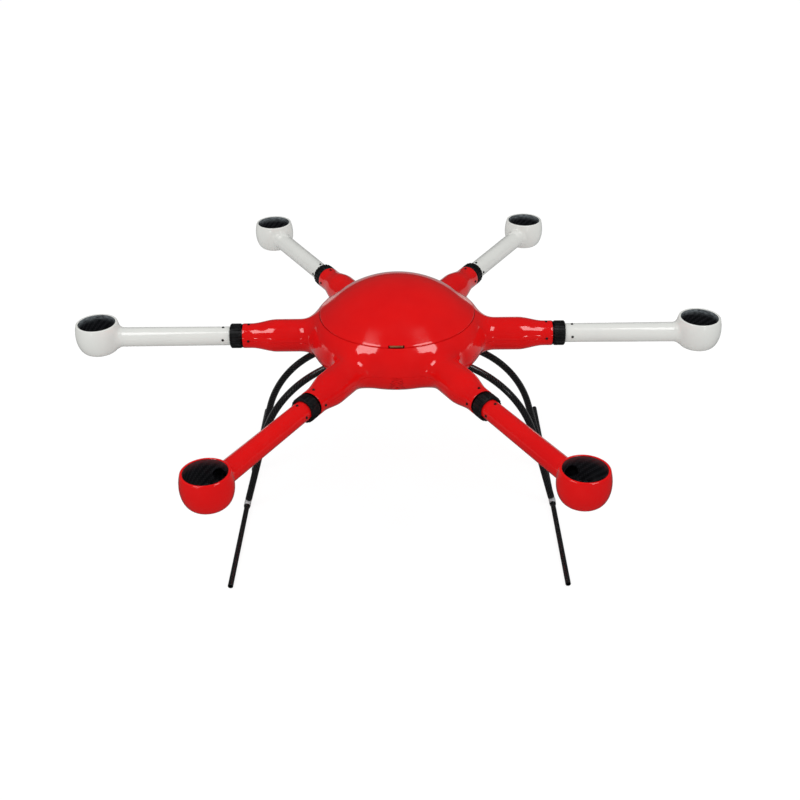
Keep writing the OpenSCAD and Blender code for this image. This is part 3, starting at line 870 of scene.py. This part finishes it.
@dataclass
class Fuselage:
    """The two moulded shells and the hatch with its seam."""

    palette: Palette
    skin: Skin = field(default_factory=Skin)
    rim_round: float = 0.5
    hatch_rise: float = 44.0
    crest: float = 38.0
    edge_soft: float = 1.4
    edge_drop: float = 1.2
    hatch_gap: float = 0.3
    seam: float = 0.4
    screw_ring: float = 109.0
    belly_ring: float = 80.0

    @property
    def rim_z(self) -> float:
        """Height of the skin at the hatch opening."""
        wide, tall = self.skin.crown
        core = self.skin.radius - wide
        return tall * math.sqrt(1 - ((self.skin.hatch_r - core) / wide) ** 2)

    @property
    def dome_r(self) -> float:
        """Radius of the sphere that the hatch is part of."""
        r, h = self.skin.hatch_r, self.hatch_rise
        return (r * r + h * h) / (2 * h)

    @property
    def dome_z(self) -> float:
        """Height of the middle of that sphere."""
        return self.rim_z + self.hatch_rise - self.dome_r

    @property
    def slope(self) -> float:
        """Slope of the dome at its edge, in degrees."""
        return math.degrees(math.asin(self.skin.hatch_r / self.dome_r))

    def half(self, side: int) -> Shape:
        """One shell with its wall, lip and rim.

        Args:
            side: 1 for the upper shell, -1 for the lower.

        Returns:
            The closed shape.
        """
        skin = self.skin
        opening = skin.hatch_r + 0.15
        ring = opening + self.rim_round if side > 0 else self.belly_ring
        outer = skin.section(ring, side, 0.0, 30, self.seam)
        edge_ring = opening if side > 0 else self.belly_ring
        inner = skin.section(edge_ring, side, skin.wall, 10, 0.0)
        on_ring = skin.stations(ring)[:, 4] > 0
        shape = Shape()
        for direction in ARM_NAMES:
            for flip in (1.0, -1.0):
                way = np.array([1.0, flip, 1.0])
                out, into = (turn(p * way, direction, AXIS_H) for p in (outer, inner))
                shape.grid(out).grid(into)
                shape.grid(np.stack([out[-1], into[-1]]))
                step = np.linspace(0, 1, out.shape[0])
                thin = [into[:, 0][np.rint(t * (len(into) - 1)).astype(int)] for t in step]
                shape.grid(np.stack([out[:, 0], np.array(thin)], 1))
                top, low = out[0][on_ring], into[0][on_ring]
                if side > 0:
                    flat = top * FLAT
                    inward = -flat / np.linalg.norm(flat, axis=1)[:, None]
                    curl = [
                        top + self.rim_round * (inward * math.sin(a) - UP * (1 - math.cos(a)))
                        for a in np.radians([0, 22, 45, 67, 90])
                    ]
                    shape.grid(np.stack([*curl, low]))
                else:
                    for edge in (top, low):
                        flat, level = edge * FLAT, UP * edge[0, 2]
                        shape.grid(np.stack([flat * t + level for t in np.linspace(1, 0, 9)]))
        return shape

    def red(self, shape: Shape, name: str, sharp: float = 35.0) -> bpy.types.Object:
        """Makes the shape's object in the red finish."""
        return shape.object(name, [self.palette[Slot.RED]], sharp)

    def screw_places(self) -> Iterator[tuple[float, float]]:
        """Where the shell screws stand, midway between the stubs."""
        for direction in ARM_NAMES:
            c, s = cos_sin(direction + 30)
            yield self.screw_ring * c, self.screw_ring * s

    def bosses(self, shape: Shape, low: float, high: float, bore: float, wide: float) -> None:
        """Adds the screw bosses between the stubs.

        Args:
            shape: The shell.
            low: Lower end.
            high: Upper end.
            bore: Radius of the hole.
            wide: Outer radius.
        """
        outline = [(bore, low), (wide - 0.3, low), (wide, low + 0.3), (wide, high), (bore, high)]
        for x, y in self.screw_places():
            shape.lathe([*outline, (bore, low)], upright(x, y, AXIS_H), 32)

    def upper(self) -> bpy.types.Object:
        """The upper shell, with the ledge that the hatch closes on."""
        shape = self.half(1)
        made = self.red(shape, "upper_shell_moulding", 32)
        carve(made, self.seat_cutter(1))
        extra = Shape()
        self.bosses(extra, low=0.02, high=12.0, bore=1.5, wide=4.8)
        r = self.dome_r - self.skin.wall - 0.35
        first, last, thick, soft = 90.0, 102.4, 2.5, 0.3
        top = [(x, self.dome_z + math.sqrt(r * r - x * x)) for x in np.linspace(first, last, 8)]
        under = [(x, z - thick) for x, z in reversed(top)]
        top += [(105.5, 29.4), (105.5, 28.3)]
        start = top[0][1]
        profile = [(first + soft, start - soft), *top[1:], *under, (first, start - 1.0)]
        profile.append(profile[0])
        for arc in ((-81.0, 77.5), (102.5, 261.0)):
            extra.lathe(profile, upright(z=AXIS_H), 240, arc=arc)
            for a in arc:
                ends = turn(np.array([[x, 0.0, z] for x, z in profile]), a, AXIS_H)
                middle = np.repeat(ends.mean(0)[None], len(ends), 0)
                extra.grid(np.stack([ends, middle]))
        return join(made, self.red(extra, "upper_shell_ledge"))

    def lower(self) -> bpy.types.Object:
        """The lower shell, with wells for the screws. The legs pass through its skin."""
        made = self.red(self.half(-1), "lower_shell_moulding", 32)
        cut = Shape()
        well = [(0, -45), (3.1, -45), (3.1, -9), (1.6, -9), (1.6, 5), (0, 5)]
        for x, y in self.screw_places():
            cut.lathe(well, upright(x, y, AXIS_H), 32)
        carve(made, self.red(cut, "cut"))
        extra = Shape()
        self.bosses(extra, low=-8.9, high=-1.0, bore=1.6, wide=3.0)
        return join(made, self.red(extra, "lower_shell_bosses"))

    def hinge_place(self, points: Points) -> Points:
        """Moves points from the frame of the hinge, with the seam at the origin."""
        lift = 2.4
        c, s = cos_sin(self.slope)
        y = self.skin.hatch_r - 0.05 + lift * s
        z = self.rim_z + lift * c + AXIS_H
        py, pz = points[..., 1], points[..., 2]
        return np.stack([points[..., 0], y + py * c + pz * s, z - py * s + pz * c], -1)

    def seat_cutter(self, side: int) -> bpy.types.Object:
        """The flat seat under a hinge leaf: side is 1 on the shell and -1 on the hatch."""
        y = (-3.0, 11.2) if side > 0 else (-11.2, 3.0)
        box = block((-12.2, 12.2), y, (-2.6, 5.4))
        return self.red(Shape().grid(self.hinge_place(box)), "cut")

    def hatch(self) -> bpy.types.Object:
        """The domed hatch, with its notch for the latch and its seat for the hinge."""
        edge = self.skin.hatch_r - self.hatch_gap
        inner, limit, soft = self.dome_r - self.skin.wall, math.radians(self.crest), self.edge_soft
        bend = (edge - soft * (1 - math.sin(limit)), self.rim_z + self.edge_drop)
        rise = self.rim_z + self.hatch_rise - bend[1]
        crown = (rise - bend[0] * math.tan(limit)) / (1 - 1 / math.cos(limit))
        top = self.rim_z + self.hatch_rise - crown
        skin = [
            (crown * math.sin(a), top + crown * math.cos(a)) for a in np.linspace(0, limit, 40)
        ]
        x, z = skin[-1]
        skin += [(x + (bend[0] - x) * t, z + (bend[1] - z) * t) for t in np.linspace(0.1, 1, 10)]
        curl = [
            (bend[0] + soft * (math.sin(a) - math.sin(limit)),
             bend[1] - soft * (math.cos(limit) - math.cos(a)))
            for a in np.linspace(limit, math.pi / 2, 8)[1:]
        ]
        low = self.dome_z + math.sqrt(inner**2 - edge**2)
        angles = np.linspace(math.degrees(math.asin(edge / inner)), 0, 24)
        under = [(inner * s, self.dome_z + inner * c) for c, s in map(cos_sin, angles)]
        shape = Shape()
        shape.lathe([*skin, *curl, (edge, low + 0.6), *under], upright(z=AXIS_H), 240)
        made = self.red(shape, "hatch_dome", 32)
        notch = (-self.skin.hatch_r - 4, -self.skin.hatch_r + 8)
        height = (AXIS_H + self.rim_z - 8, AXIS_H + 36.7)
        cut = Shape().grid(block((-10, 10), notch, height))
        carve(made, self.red(cut, "cut"))
        carve(made, self.seat_cutter(-1))
        return made

    def build(self) -> list[Piece]:
        """Builds the shells and the hatch.

        Returns:
            Each piece with its body, slot and the nodes that it stands for.
        """
        return [
            (self.upper(), "fuselage", Slot.RED, ("upper_shell",)),
            (self.lower(), "fuselage", Slot.RED, ("lower_shell",)),
            (self.hatch(), "hatch", Slot.RED, ("hatch",)),
        ]


def block(
    x: tuple[float, float], y: tuple[float, float], z: tuple[float, float]
) -> Points:
    """A closed box as one grid.

    Args:
        x: Its extent across.
        y: Its extent fore and aft.
        z: Its lower and upper height.

    Returns:
        Rows by columns by 3.
    """
    outline = [(x[0], y[0]), (x[1], y[0]), (x[1], y[1]), (x[0], y[1]), (x[0], y[0])]
    rings = [np.c_[np.array(outline, float), np.full(5, height)] for height in z]
    centre = [np.repeat(ring[:-1].mean(0)[None], 5, 0) for ring in rings]
    return np.stack([centre[0], *rings, centre[1]])


def join(first: bpy.types.Object, second: bpy.types.Object) -> bpy.types.Object:
    """Adds the second object's mesh to the first and removes it.

    Args:
        first: The object that stays.
        second: The one that goes into it.

    Returns:
        The first object.
    """
    work = bmesh.new()
    work.from_mesh(first.data)
    work.from_mesh(second.data)
    work.to_mesh(first.data)
    work.free()
    bpy.data.objects.remove(second)
    return first


# ---- Arms ----


@dataclass(frozen=True)
class Pod:
    """The outer form of a motor pod, with heights from the arm axes."""

    core: float = 18.0
    spread: float = 11.7
    waist: float = 4.0
    depth: float = 23.5
    rim: float = 19.6
    edge: float = 1.9
    lean: float = 2.1
    floor: float = -13.0
    sole: float = -17.0


@dataclass
class Arms:
    """The six arms with their motor pods, and the collar nuts that hold them."""

    palette: Palette
    pod: Pod = field(default_factory=Pod)
    reach_u: float = 400.0
    start: float = 219.0
    lip_r: float = 25.7
    bore_r: float = 24.5
    fillet: float = 6.0
    tube_r: float = 12.5
    swell: float = 0.5
    swell_u: tuple[float, float] = (240.0, 380.0)
    tube_bore: float = 10.5
    vent_ring: float = 12.5
    vent_r: float = 3.2
    flare: float = 360.0
    lean: float = 14.0

    def tube_radius(self, u: Points) -> Points:
        """Outer radius of the tube at a distance from the centre."""
        low, high = self.swell_u
        return self.tube_r + self.swell * np.clip((u - low) / (high - low), 0, 1)

    def gap(self, p: Points) -> Points:
        """Distance outside the arm with its pod, in the arm's own frame."""
        pod = self.pod
        u, v, z = p[..., 0], p[..., 1], p[..., 2]
        tube = np.maximum(np.hypot(v, z) - self.tube_radius(u), u - self.reach_u)
        q, above = np.hypot(u - self.reach_u, v), z - pod.waist
        foot = np.hypot(np.maximum(q - pod.core, 0) / pod.spread, above / pod.depth) - 1
        t = np.clip(above / (pod.rim - pod.waist), 0, 1)
        wall = q - (pod.core + pod.spread - pod.lean * t * t)
        rim = np.hypot(np.maximum(q - self.lip_r, 0), z - pod.rim) - pod.edge
        upper = np.where(z < pod.rim, wall, rim)
        return soft_union(tube, np.where(z < pod.waist, foot * pod.spread, upper), self.fillet)

    def stations(self) -> np.ndarray:
        """Sections of half the arm: u, v, direction, trim and share of the pod."""
        start, centre, lip, flare = self.start, self.reach_u, self.lip_r, self.flare
        edge, blend = centre - lip, flare + 6
        end = [(start, 0, 90, 0.5, 0), (start + 0.15, 0, 90, 0.15, 0)]
        run = [(u, 0, 90, 0, 0) for u in np.linspace(start + 0.5, flare, 30)]
        near = [
            (u, 0, 90 - self.lean * (u - flare) / (edge - flare), 0,
             max(0, (u - blend) / (edge - blend)))
            for u in np.linspace(flare + 1, edge, 28)[:-1]
        ]
        pod = []
        for a in np.concatenate([np.linspace(0, 36, 16)[:-1], np.linspace(36, 180, 33)]):
            heading = 90 - self.lean * (1 - a / 90) if a < 90 else a
            c, s = cos_sin(a)
            pod.append((centre - lip * c, lip * s, heading, 0, 1))
        return np.array(end + run + near + pod)

    def side(self, up: int, rows: int) -> Points:
        """Points of the outer skin from the ridge to the arm's plane.

        Args:
            up: 1 for the upper side, -1 for the lower.
            rows: Rows, without the last.

        Returns:
            Rows by stations by 3.
        """
        st = self.stations()
        t = (1 - np.arange(rows + 1) / rows)[:, None]
        tall = self.pod.rim if up > 0 else 12.0
        share = st[None, :, 4]
        lift = share * tall * np.clip(t / 0.7, 0, 1) * up
        angle = (1 - share) * 90 * t + share * 90 * np.clip((t - 0.7) / 0.3, 0, 1)
        angle = np.radians(angle)
        heading = np.radians(180 - st[:, 2])[None, :]
        way = aimed(heading, angle, up)
        flat = np.broadcast_to(st[None, :, :2], (rows + 1, len(st), 2))
        origin = np.concatenate([flat, lift[..., None]], -1)
        length = reach(self.gap, origin, way, 40.0) - st[None, :, 3]
        return origin + way * length[..., None]

    def shell(self) -> Shape:
        """The closed outer skin and cup of one arm, before its bore is cut."""
        pod, upper, lower = self.pod, self.side(1, 26), self.side(-1, 26)
        share = self.stations()[:, 4] >= 1
        shape = Shape()
        middle = np.array([self.reach_u, 0.0, 0.0])
        for flip in (1.0, -1.0):
            way = np.array([1.0, flip, 1.0])
            shape.grid(upper * way).grid(lower * way)
            ends = np.concatenate([upper[:, 0], lower[::-1, 0][1:]]) * way
            hub = np.repeat(np.array([[self.start, 0.0, 0.0]]), len(ends), 0)
            shape.grid(np.stack([hub, ends]))
            ridge = (upper[0, share] - middle) * way
            polar = np.arctan2(ridge[:, 1], ridge[:, 0])
            cup = [
                (self.lip_r - pod.edge * math.sin(a), pod.rim + pod.edge * math.cos(a))
                for a in np.radians([0, 10, 20, 30, 38])
            ]
            cup += [(self.bore_r, z) for z in (20.9, 20.3, 14.0, 6.0, -2.0, -8.0, -12.6)]
            cup += [(self.bore_r - 0.4, pod.floor), (21.3, pod.floor), (21.0, pod.floor - 0.3)]
            cup += [(radius, pod.sole) for radius in (21.0, 13.0, 5.0)]
            outline = np.array(cup)
            radii, heights = outline[:, :1], outline[:, 1:]
            rings = spread(radii * np.cos(polar), radii * np.sin(polar), heights)
            uv = spread(polar * self.bore_r, lengths(outline)[:, None]) * MM
            shape.grid(rings[:6] + middle)
            shape.grid(rings[5:] + middle, 1, uv[5:])
            base = (lower[0, share] - middle) * way
            sole = []
            for radius in (self.lip_r, 25.0, 24.0, 22.5, 21.0, 19.5, 18.0, 14.0, 9.0, 5.0):
                slant = max(radius - pod.core, 0) / pod.spread
                ring = base * (radius / self.lip_r)
                if radius < self.lip_r:
                    ring[:, 2] = pod.waist - pod.depth * math.sqrt(1 - slant**2)
                else:
                    ring[:, 2] = base[:, 2]
                sole.append(ring)
            shape.grid(np.stack([*sole, rings[-1]]) + middle)
        return shape

    def arm_mesh(self) -> bpy.types.Object:
        """One arm in its own frame, bored along the tube and through the sole of the pod."""
        white = [self.palette[Slot.WHITE], self.palette.cups[Slot.WHITE]]
        made = self.shell().object("arm", white, 32)
        cut = Shape()
        r, low, high = self.tube_bore, 210.0, 385.0
        cut.lathe([(0, low), (r, low), (r, high), (0, high)], along_arm(0.0, 0.0), 64, 1)
        r, low, high = self.vent_r, -25.0, -10.0
        for a in (45, 135, 225, 315):
            x, y = (self.vent_ring * part for part in cos_sin(a))
            place = upright(self.reach_u + x, y)
            cut.lathe([(0, low), (r, low), (r, high), (0, high)], place, 32, 1)
        carve(made, cut.object("cut", white))
        return made

    def collar_mesh(self) -> bpy.types.Object:
        """One knurled collar nut in its own frame."""
        low, high, out, in_r, lip = 207.5, 222.5, 16.5, 14.58, 12.58

        def flute(radius: np.ndarray, angle: np.ndarray) -> np.ndarray:
            """Sinks 22 grooves into the outside."""
            phase = (angle * 22 / (2 * math.pi)) % 1.0
            distance = np.abs(phase - 0.5)
            dip = smooth(distance, 0.2, 0.3) * 0.9
            return np.where(radius > out - 1.3, np.minimum(radius, out - dip), radius)

        profile = [
            (in_r, low + 11.6), (in_r, low + 0.4), (in_r + 0.3, low), (out - 1.6, low),
            (out - 1.3, low + 0.1), (out - 0.5, low + 0.9), (out - 0.15, low + 1.25),
            (out, low + 1.7), (out, low + 4.5), (out, high - 4.5), (out, high - 1.7),
            (out - 0.15, high - 1.25), (out - 0.5, high - 0.9), (out - 1.3, high - 0.1),
            (out - 1.6, high), (lip + 0.4, high), (lip, high - 0.4), (lip, low + 11.6),
            (in_r, low + 11.6),
        ]
        shape = Shape()
        shape.lathe(profile, along_arm(0.0, 0.0), 528, flute=flute)
        return shape.object("collar", [self.palette[Slot.COLLAR]], 40)

    def build(self) -> list[Piece]:
        """Builds six arms and six collars.

        Returns:
            Each piece with its body, slot and the nodes that it stands for.
        """
        out = []
        arm, collar = self.arm_mesh(), self.collar_mesh()
        for direction, name in ARM_NAMES.items():
            slot = Slot.RED if name.startswith("front") else Slot.WHITE
            for source, kind, kept in ((arm, "arm", slot), (collar, "collar", Slot.COLLAR)):
                mesh = source.data.copy()
                mesh.materials[0] = self.palette[kept]
                if kept in self.palette.cups:
                    mesh.materials[1] = self.palette.cups[kept]
                made = linked(f"{kind}_{name}_turned", mesh)
                mesh.name = made.name
                spin = Matrix.Rotation(math.radians(direction), 4, "Z")
                mesh.transform(Matrix.Translation((0, 0, AXIS_H * MM)) @ spin)
                out.append((made, f"{kind}_{name}", kept, (f"{kind}_{name}",)))
        bpy.data.objects.remove(arm)
        bpy.data.objects.remove(collar)
        return out


# ---- Landing gear ----


@dataclass
class LandingGear:
    """Four bent tube legs, their fittings and the two skids."""

    palette: Palette
    skid_x: float = 216.0
    skid_h: float = 4.75
    tee_y: float = 45.0
    slope: float = 73.9
    root: float = 5.0
    straight: float = 114.0
    bend: float = 155.0
    root_len: float = 24.0
    leg_turn: float = 188.0
    leg_r: float = 4.75
    leg_bore: float = 3.75
    skid_r: float = 3.5
    sleeve_r: tuple[float, float, float] = (3.52, 4.4, 4.75)
    ring_off: float = 6.8

    def path(self) -> Points:
        """The centreline of a leg in its own upright plane, from above the fitting."""
        start = np.array(cos_sin(self.slope))
        knee = self.straight * start
        centre = knee + self.bend * np.array([start[1], -start[0]])
        angles = np.radians(np.linspace(self.slope, self.root, 49))
        arc = centre + self.bend * np.stack([-np.sin(angles), np.cos(angles)], -1)
        tip = arc[-1] + self.root_len * np.array(cos_sin(self.root))
        low = [start * d for d in np.linspace(7.5, self.straight, 12)[:-1]]
        return np.array([*low, *arc, tip])

    def corner(self, x: int, y: int) -> Callable[[Points], Points]:
        """Moves points from the plane of a leg (along, up, across) to one corner."""
        c, s = cos_sin(self.leg_turn)

        def place(p: Points) -> Points:
            """Moves the points."""
            px = self.skid_x + p[..., 0] * c - p[..., 2] * s
            py = self.tee_y + p[..., 0] * s + p[..., 2] * c
            return np.stack([px * x, py * y, p[..., 1] + self.skid_h], -1)

        return place

    def leg(self, x: int, y: int, name: str) -> bpy.types.Object:
        """One bent tube with its bore."""
        path = self.path()
        heading = np.gradient(path, axis=0)
        heading /= np.linalg.norm(heading, axis=1)[:, None]
        normal = np.stack([-heading[:, 1], heading[:, 0]], -1)
        run = lengths(path)
        angle = np.radians(np.linspace(0, 360, 41))

        def ring(k: int, radius: float, shift: float = 0.0) -> Points:
            """A ring round one point of the path, moved along it."""
            lift = normal[k] * radius
            rows = path[k] + heading[k] * shift + lift * np.cos(angle)[:, None]
            return np.c_[rows, radius * np.sin(angle)]

        last, chamfer = len(path) - 1, 0.35
        bore, edge, wide = self.leg_bore, self.leg_r - chamfer, self.leg_r
        rings = [ring(0, bore), ring(0, edge), ring(0, wide, chamfer)]
        rings += [ring(k, wide) for k in range(1, last)]
        rings += [ring(last, wide, -chamfer), ring(last, edge), ring(last, bore)]
        rings += [ring(k, bore) for k in range(last, -1, -1)]
        along = [0, 0.3, 0.6, *run[1:last], run[-1] - 0.6, run[-1] - 0.3, run[-1]]
        along += list(run[::-1])
        uv = spread(np.array(along)[:, None], angle * wide) * MM
        place = self.corner(x, y)
        shape = Shape().grid(place(np.array(rings)), 0, uv)
        return shape.object(f"{name}_tube", [self.palette[Slot.TUBE]], 50)

    def tee(self, x: int, y: int, name: str) -> bpy.types.Object:
        """One polished fitting: a sleeve on the skid and a socket for the leg."""
        shape = Shape()
        half, (bore, edge, wide) = 5.5, self.sleeve_r
        sleeve = [
            (bore, -half), (edge, -half), (wide, -half + 0.35), (wide, half - 0.35),
            (edge, half), (bore, half), (bore, -half),
        ]
        shape.lathe(sleeve, along_y(x * self.skid_x, y * self.tee_y, self.skid_h), 64)
        c, s = cos_sin(self.slope)
        place = self.corner(x, y)

        def up_leg(p: Points) -> Points:
            """Stands points along the leg."""
            along = p[..., 2] * c - p[..., 0] * s
            height = p[..., 2] * s + p[..., 0] * c
            return place(np.stack([along, height, p[..., 1]], -1))

        stem = [(0.0, 3.6), (4.5, 3.6), (4.5, 7.3), (4.2, 7.5), (3.7, 7.5), (3.7, 22.8)]
        shape.lathe([*stem, (3.1, 23.4), (0.0, 23.4)], up_leg, 48)
        return shape.object(f"{name}_turned", [self.palette[Slot.ALLOY]], 30)

    def skid(self, x: int, name: str) -> bpy.types.Object:
        """One open-ended skid tube."""
        end, bore, rim = 213.5, self.skid_r - 1.0, self.skid_r - 0.3
        outline = [(bore, -end), (rim, -end)]
        outline += [(self.skid_r, at) for at in (0.3 - end, -120, -60, 0, 60, 120, end - 0.3)]
        outline += [(rim, end), (bore, end), (bore, 0), (bore, -end)]
        shape = Shape()
        shape.lathe(outline, along_y(x * self.skid_x, -8.0, self.skid_h), 48)
        return shape.object(f"{name}_tube", [self.palette[Slot.TUBE]], 40)

    def rings(self) -> bpy.types.Object:
        """The eight stop rings beside the fittings."""
        shape = Shape()
        half, (bore, wide, _) = 1.3, self.sleeve_r
        corners = [(bore, -half, 0.15), (wide, -half, 0.5), (wide, half, 0.5), (bore, half, 0.15)]
        outline = rounded(corners)
        for x, y, end in itertools.product((1, -1), repeat=3):
            at = y * self.tee_y + end * self.ring_off
            place = along_y(x * self.skid_x, at, self.skid_h)
            shape.lathe([*outline, outline[0]], place, 48)
        return shape.object("skid_rings_moulded", [self.palette[Slot.RUBBER]], 40)

    def build(self) -> list[Piece]:
        """Builds the legs, fittings, skids and rings.

        Returns:
            Each piece with its body, slot and the nodes that it stands for.
        """
        out = []
        for x, side in ((1, "right"), (-1, "left")):
            for y, end in ((-1, "front"), (1, "rear")):
                leg, tee = f"leg_{end}_{side}", f"tee_{end}_{side}"
                out.append((self.leg(x, y, leg), "fuselage", Slot.TUBE, (leg,)))
                out.append((self.tee(x, y, tee), "fuselage", Slot.ALLOY, (tee,)))
            name = f"skid_{side}"
            out.append((self.skid(x, name), "fuselage", Slot.TUBE, (name,)))
        out.append((self.rings(), "fuselage", Slot.RUBBER, ("skid_rings",)))
        return out


# ---- Latch ----


@dataclass
class Latch:
    """The brass tongue in the front edge of the hatch."""

    palette: Palette

    def build(self) -> list[Piece]:
        """Builds the tongue with softened edges.

        Returns:
            The piece with its body, slot and the node that it stands for.
        """
        outline = rounded(
            [
                (-8.5, -100.6, 0.8), (8.5, -100.6, 0.8), (8.5, -87.0, 0.0), (10.5, -87.0, 0.4),
                (10.5, -84.0, 0.4), (-10.5, -84.0, 0.4), (-10.5, -87.0, 0.4), (-8.5, -87.0, 0.0),
            ]
        )
        flat = np.array([*outline, outline[0]])
        middle = np.array([0.0, -92.0])
        low, high = AXIS_H + 34.2, AXIS_H + 36.2
        rings = [
            np.c_[middle + (flat - middle) * scale, np.full(len(flat), z)]
            for z, scale in (
                (low, 0.0), (low, 0.97), (low + 0.25, 1.0), (high - 0.3, 1.0), (high, 0.965),
                (high, 0.0),
            )
        ]
        shape = Shape().grid(np.stack(rings))
        made = shape.object("latch_tongue_plate", [self.palette[Slot.LATCH]], 30)
        return [(made, "latch", Slot.LATCH, ("latch_tongue",))]


# ---- Studio ----


@dataclass(frozen=True)
class Softbox:
    """One soft light of the studio: where it stands, what it faces, its size and power."""

    name: str
    place: tuple[float, float, float]
    aim: tuple[float, float, float]
    size: tuple[float, float]
    power: float
    tilt: float = 0.0

    def build(self) -> None:
        """Makes the light."""
        light = bpy.data.lights.new(self.name, "AREA")
        light.shape = "RECTANGLE"
        light.size, light.size_y = self.size
        light.energy = self.power
        lamp = linked(self.name, light)
        lamp.location = self.place
        way = Vector(self.aim) - Vector(self.place)
        facing = way.to_track_quat("-Z", "Y").to_matrix()
        spin = Matrix.Rotation(math.radians(self.tilt), 3, "Z")
        lamp.rotation_euler = (facing @ spin).to_euler()


@dataclass
class Studio:
    """Floor, surroundings, lights and camera."""

    target: tuple[float, float, float] = (0.0021, 0.0, 0.1471)
    distance: float = 1.4974
    azimuth: float = 0.744
    elevation: float = 31.32
    roll: float = -0.903
    lens: float = 48.64
    fill: float = 0.76
    dark: float = 0.04
    backdrop: float = 0.8
    mirrored_floor: tuple[float, float] = (0.05, 0.3)
    floor_half: float = 8.0
    lights: tuple[Softbox, ...] = (
        Softbox("softbox_left", (-0.924, -0.783, 1.842), (0, 0, 0.25), (0.61, 0.96), 6.5, 21.0),
        Softbox("softbox_right", (0.924, -0.783, 1.842), (0, 0, 0.25), (0.61, 0.96), 6.5, -21.0),
        Softbox("kicker_left", (-0.9, -1.6, 0.3), (0, 0, 0.25), (0.16, 0.16), 0.4),
        Softbox("kicker_right", (0.9, -1.6, 0.3), (0, 0, 0.25), (0.16, 0.16), 0.4),
    )

    def floor(self) -> None:
        """A pale matt sweep under the airframe; in reflections it is a glowing sheet of painted
        reflection, dark in front of the airframe and paler behind.
        """
        name = "studio_floor"
        mesh = bpy.data.meshes.new(name)
        r = self.floor_half
        mesh.from_pydata([(-r, -r, 0), (r, -r, 0), (r, r, 0), (-r, r, 0)], [], [(0, 1, 2, 3)])
        floor = linked(name, mesh)
        material = bpy.data.materials.new(name)
        tree = Tree(material)
        mottle = tree.noise(tree.place(), 3.0, 2.0)
        matt = tree.add(
            "ShaderNodeBsdfPrincipled",
            None,
            {
                "Base Color": mottle.blend((0.84, 0.84, 0.84), (0.86, 0.86, 0.86)),
                "Roughness": 0.9,
                "Specular IOR Level": 0.0,
            },
        )
        white = tree.add("ShaderNodeEmission", None, {"Strength": 1.1})
        both = tree.choose("Is Camera Ray", matt, white, self.backdrop)
        # Painted reflection: in glossy rays the floor is not lit but glows, dark in front and
        # paler behind.
        _, fore_and_aft, _ = tree.split(tree.place())
        sweep = fore_and_aft.rise(-0.1, 0.5)
        low, high = ((v, v, v) for v in self.mirrored_floor)
        mirror = tree.add("ShaderNodeEmission", None, {"Color": sweep.blend(low, high)})
        every = tree.choose("Is Glossy Ray", both, mirror)
        tree.add("ShaderNodeOutputMaterial", None, {"Surface": every})
        mesh.materials.append(material)

    def surroundings(self) -> None:
        """White to the camera, dark in reflections, and a soft grey fill for the rest."""
        world = bpy.data.worlds.new("studio")
        bpy.context.scene.world = world
        tree = Tree(world)

        def level(strength: float) -> Signal:
            """A white background of some strength."""
            inputs = {"Color": (1.0, 1.0, 1.0, 1.0), "Strength": strength}
            return tree.add("ShaderNodeBackground", None, inputs)

        mirrored = tree.choose("Is Glossy Ray", level(self.fill), level(self.dark))
        shown = tree.choose("Is Camera Ray", mirrored, level(1.0))
        tree.add("ShaderNodeOutputWorld", None, {"Surface": shown})

    def camera(self) -> None:
        """The camera, on its distance and angles from the target."""
        az, el, roll = (math.radians(a) for a in (self.azimuth, self.elevation, self.roll))
        back = Vector((math.sin(az) * math.cos(el), -math.cos(az) * math.cos(el), math.sin(el)))
        right = (-back).cross(Vector((0, 0, 1))).normalized()
        up = right.cross(-back)
        across = right * math.cos(roll) + up * math.sin(roll)
        above = up * math.cos(roll) - right * math.sin(roll)
        data = bpy.data.cameras.new("camera")
        data.lens = self.lens
        data.sensor_width = 36.0
        data.clip_end = 60.0
        eye = linked("camera", data)
        turned = Matrix((across, above, back)).transposed().to_4x4()
        eye.matrix_world = Matrix.Translation(Vector(self.target) + back * self.distance) @ turned
        bpy.context.scene.camera = eye

    def build(self) -> None:
        """Sets up the studio."""
        self.floor()
        self.surroundings()
        for light in self.lights:
            light.build()
        self.camera()
        bpy.context.scene.view_settings.view_transform = "Standard"


# ---- The smaller hardware, kept from the CAD ----

KEPT: dict[Slot, tuple[str, ...]] = {
    Slot.HINGE: ("hinge_leaf_shell", "hinge_leaf_hatch"),
    Slot.STEEL: ("hinge_pin", "latch_spring"),
    Slot.PLASTIC: ("latch_housing", "leg_clamps"),
    Slot.CARBON: ("base_plate", "top_plate", *(f"motor_floor_{n}" for n in ARM_NAMES.values())),
    Slot.ALUMINIUM: (
        "standoffs", "socket_sleeves", *(f"spigot_{n}" for n in ARM_NAMES.values()),
    ),
    Slot.SCREW: (
        "deck_screws", "shell_screws", "leg_clamp_screws", "socket_screws",
        *(f"arm_screws_{n}" for n in ARM_NAMES.values()),
    ),
}


def dress_kept(palette: Palette) -> None:
    """Gives each kept CAD node its finish, in all its material slots."""
    for slot, names in KEPT.items():
        for name in names:
            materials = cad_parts[name].data.materials
            if not len(materials):
                materials.append(palette[slot])
            for k in range(len(materials)):
                materials[k] = palette[slot]


def main() -> None:
    """Builds every piece, dresses the kept CAD nodes and sets up the studio."""
    logging.basicConfig(level=logging.INFO, format="%(message)s")
    palette = Palette()
    builders = (Fuselage(palette), Arms(palette), LandingGear(palette), Latch(palette))
    for builder in builders:
        for piece, body, slot, nodes in builder.build():
            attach(piece, body)
            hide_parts(*nodes)
            log.info("%s on %s: %d faces", piece.name, body, len(piece.data.polygons))
    dress_kept(palette)
    Studio().build()


if __name__ == "__main__":
    main()
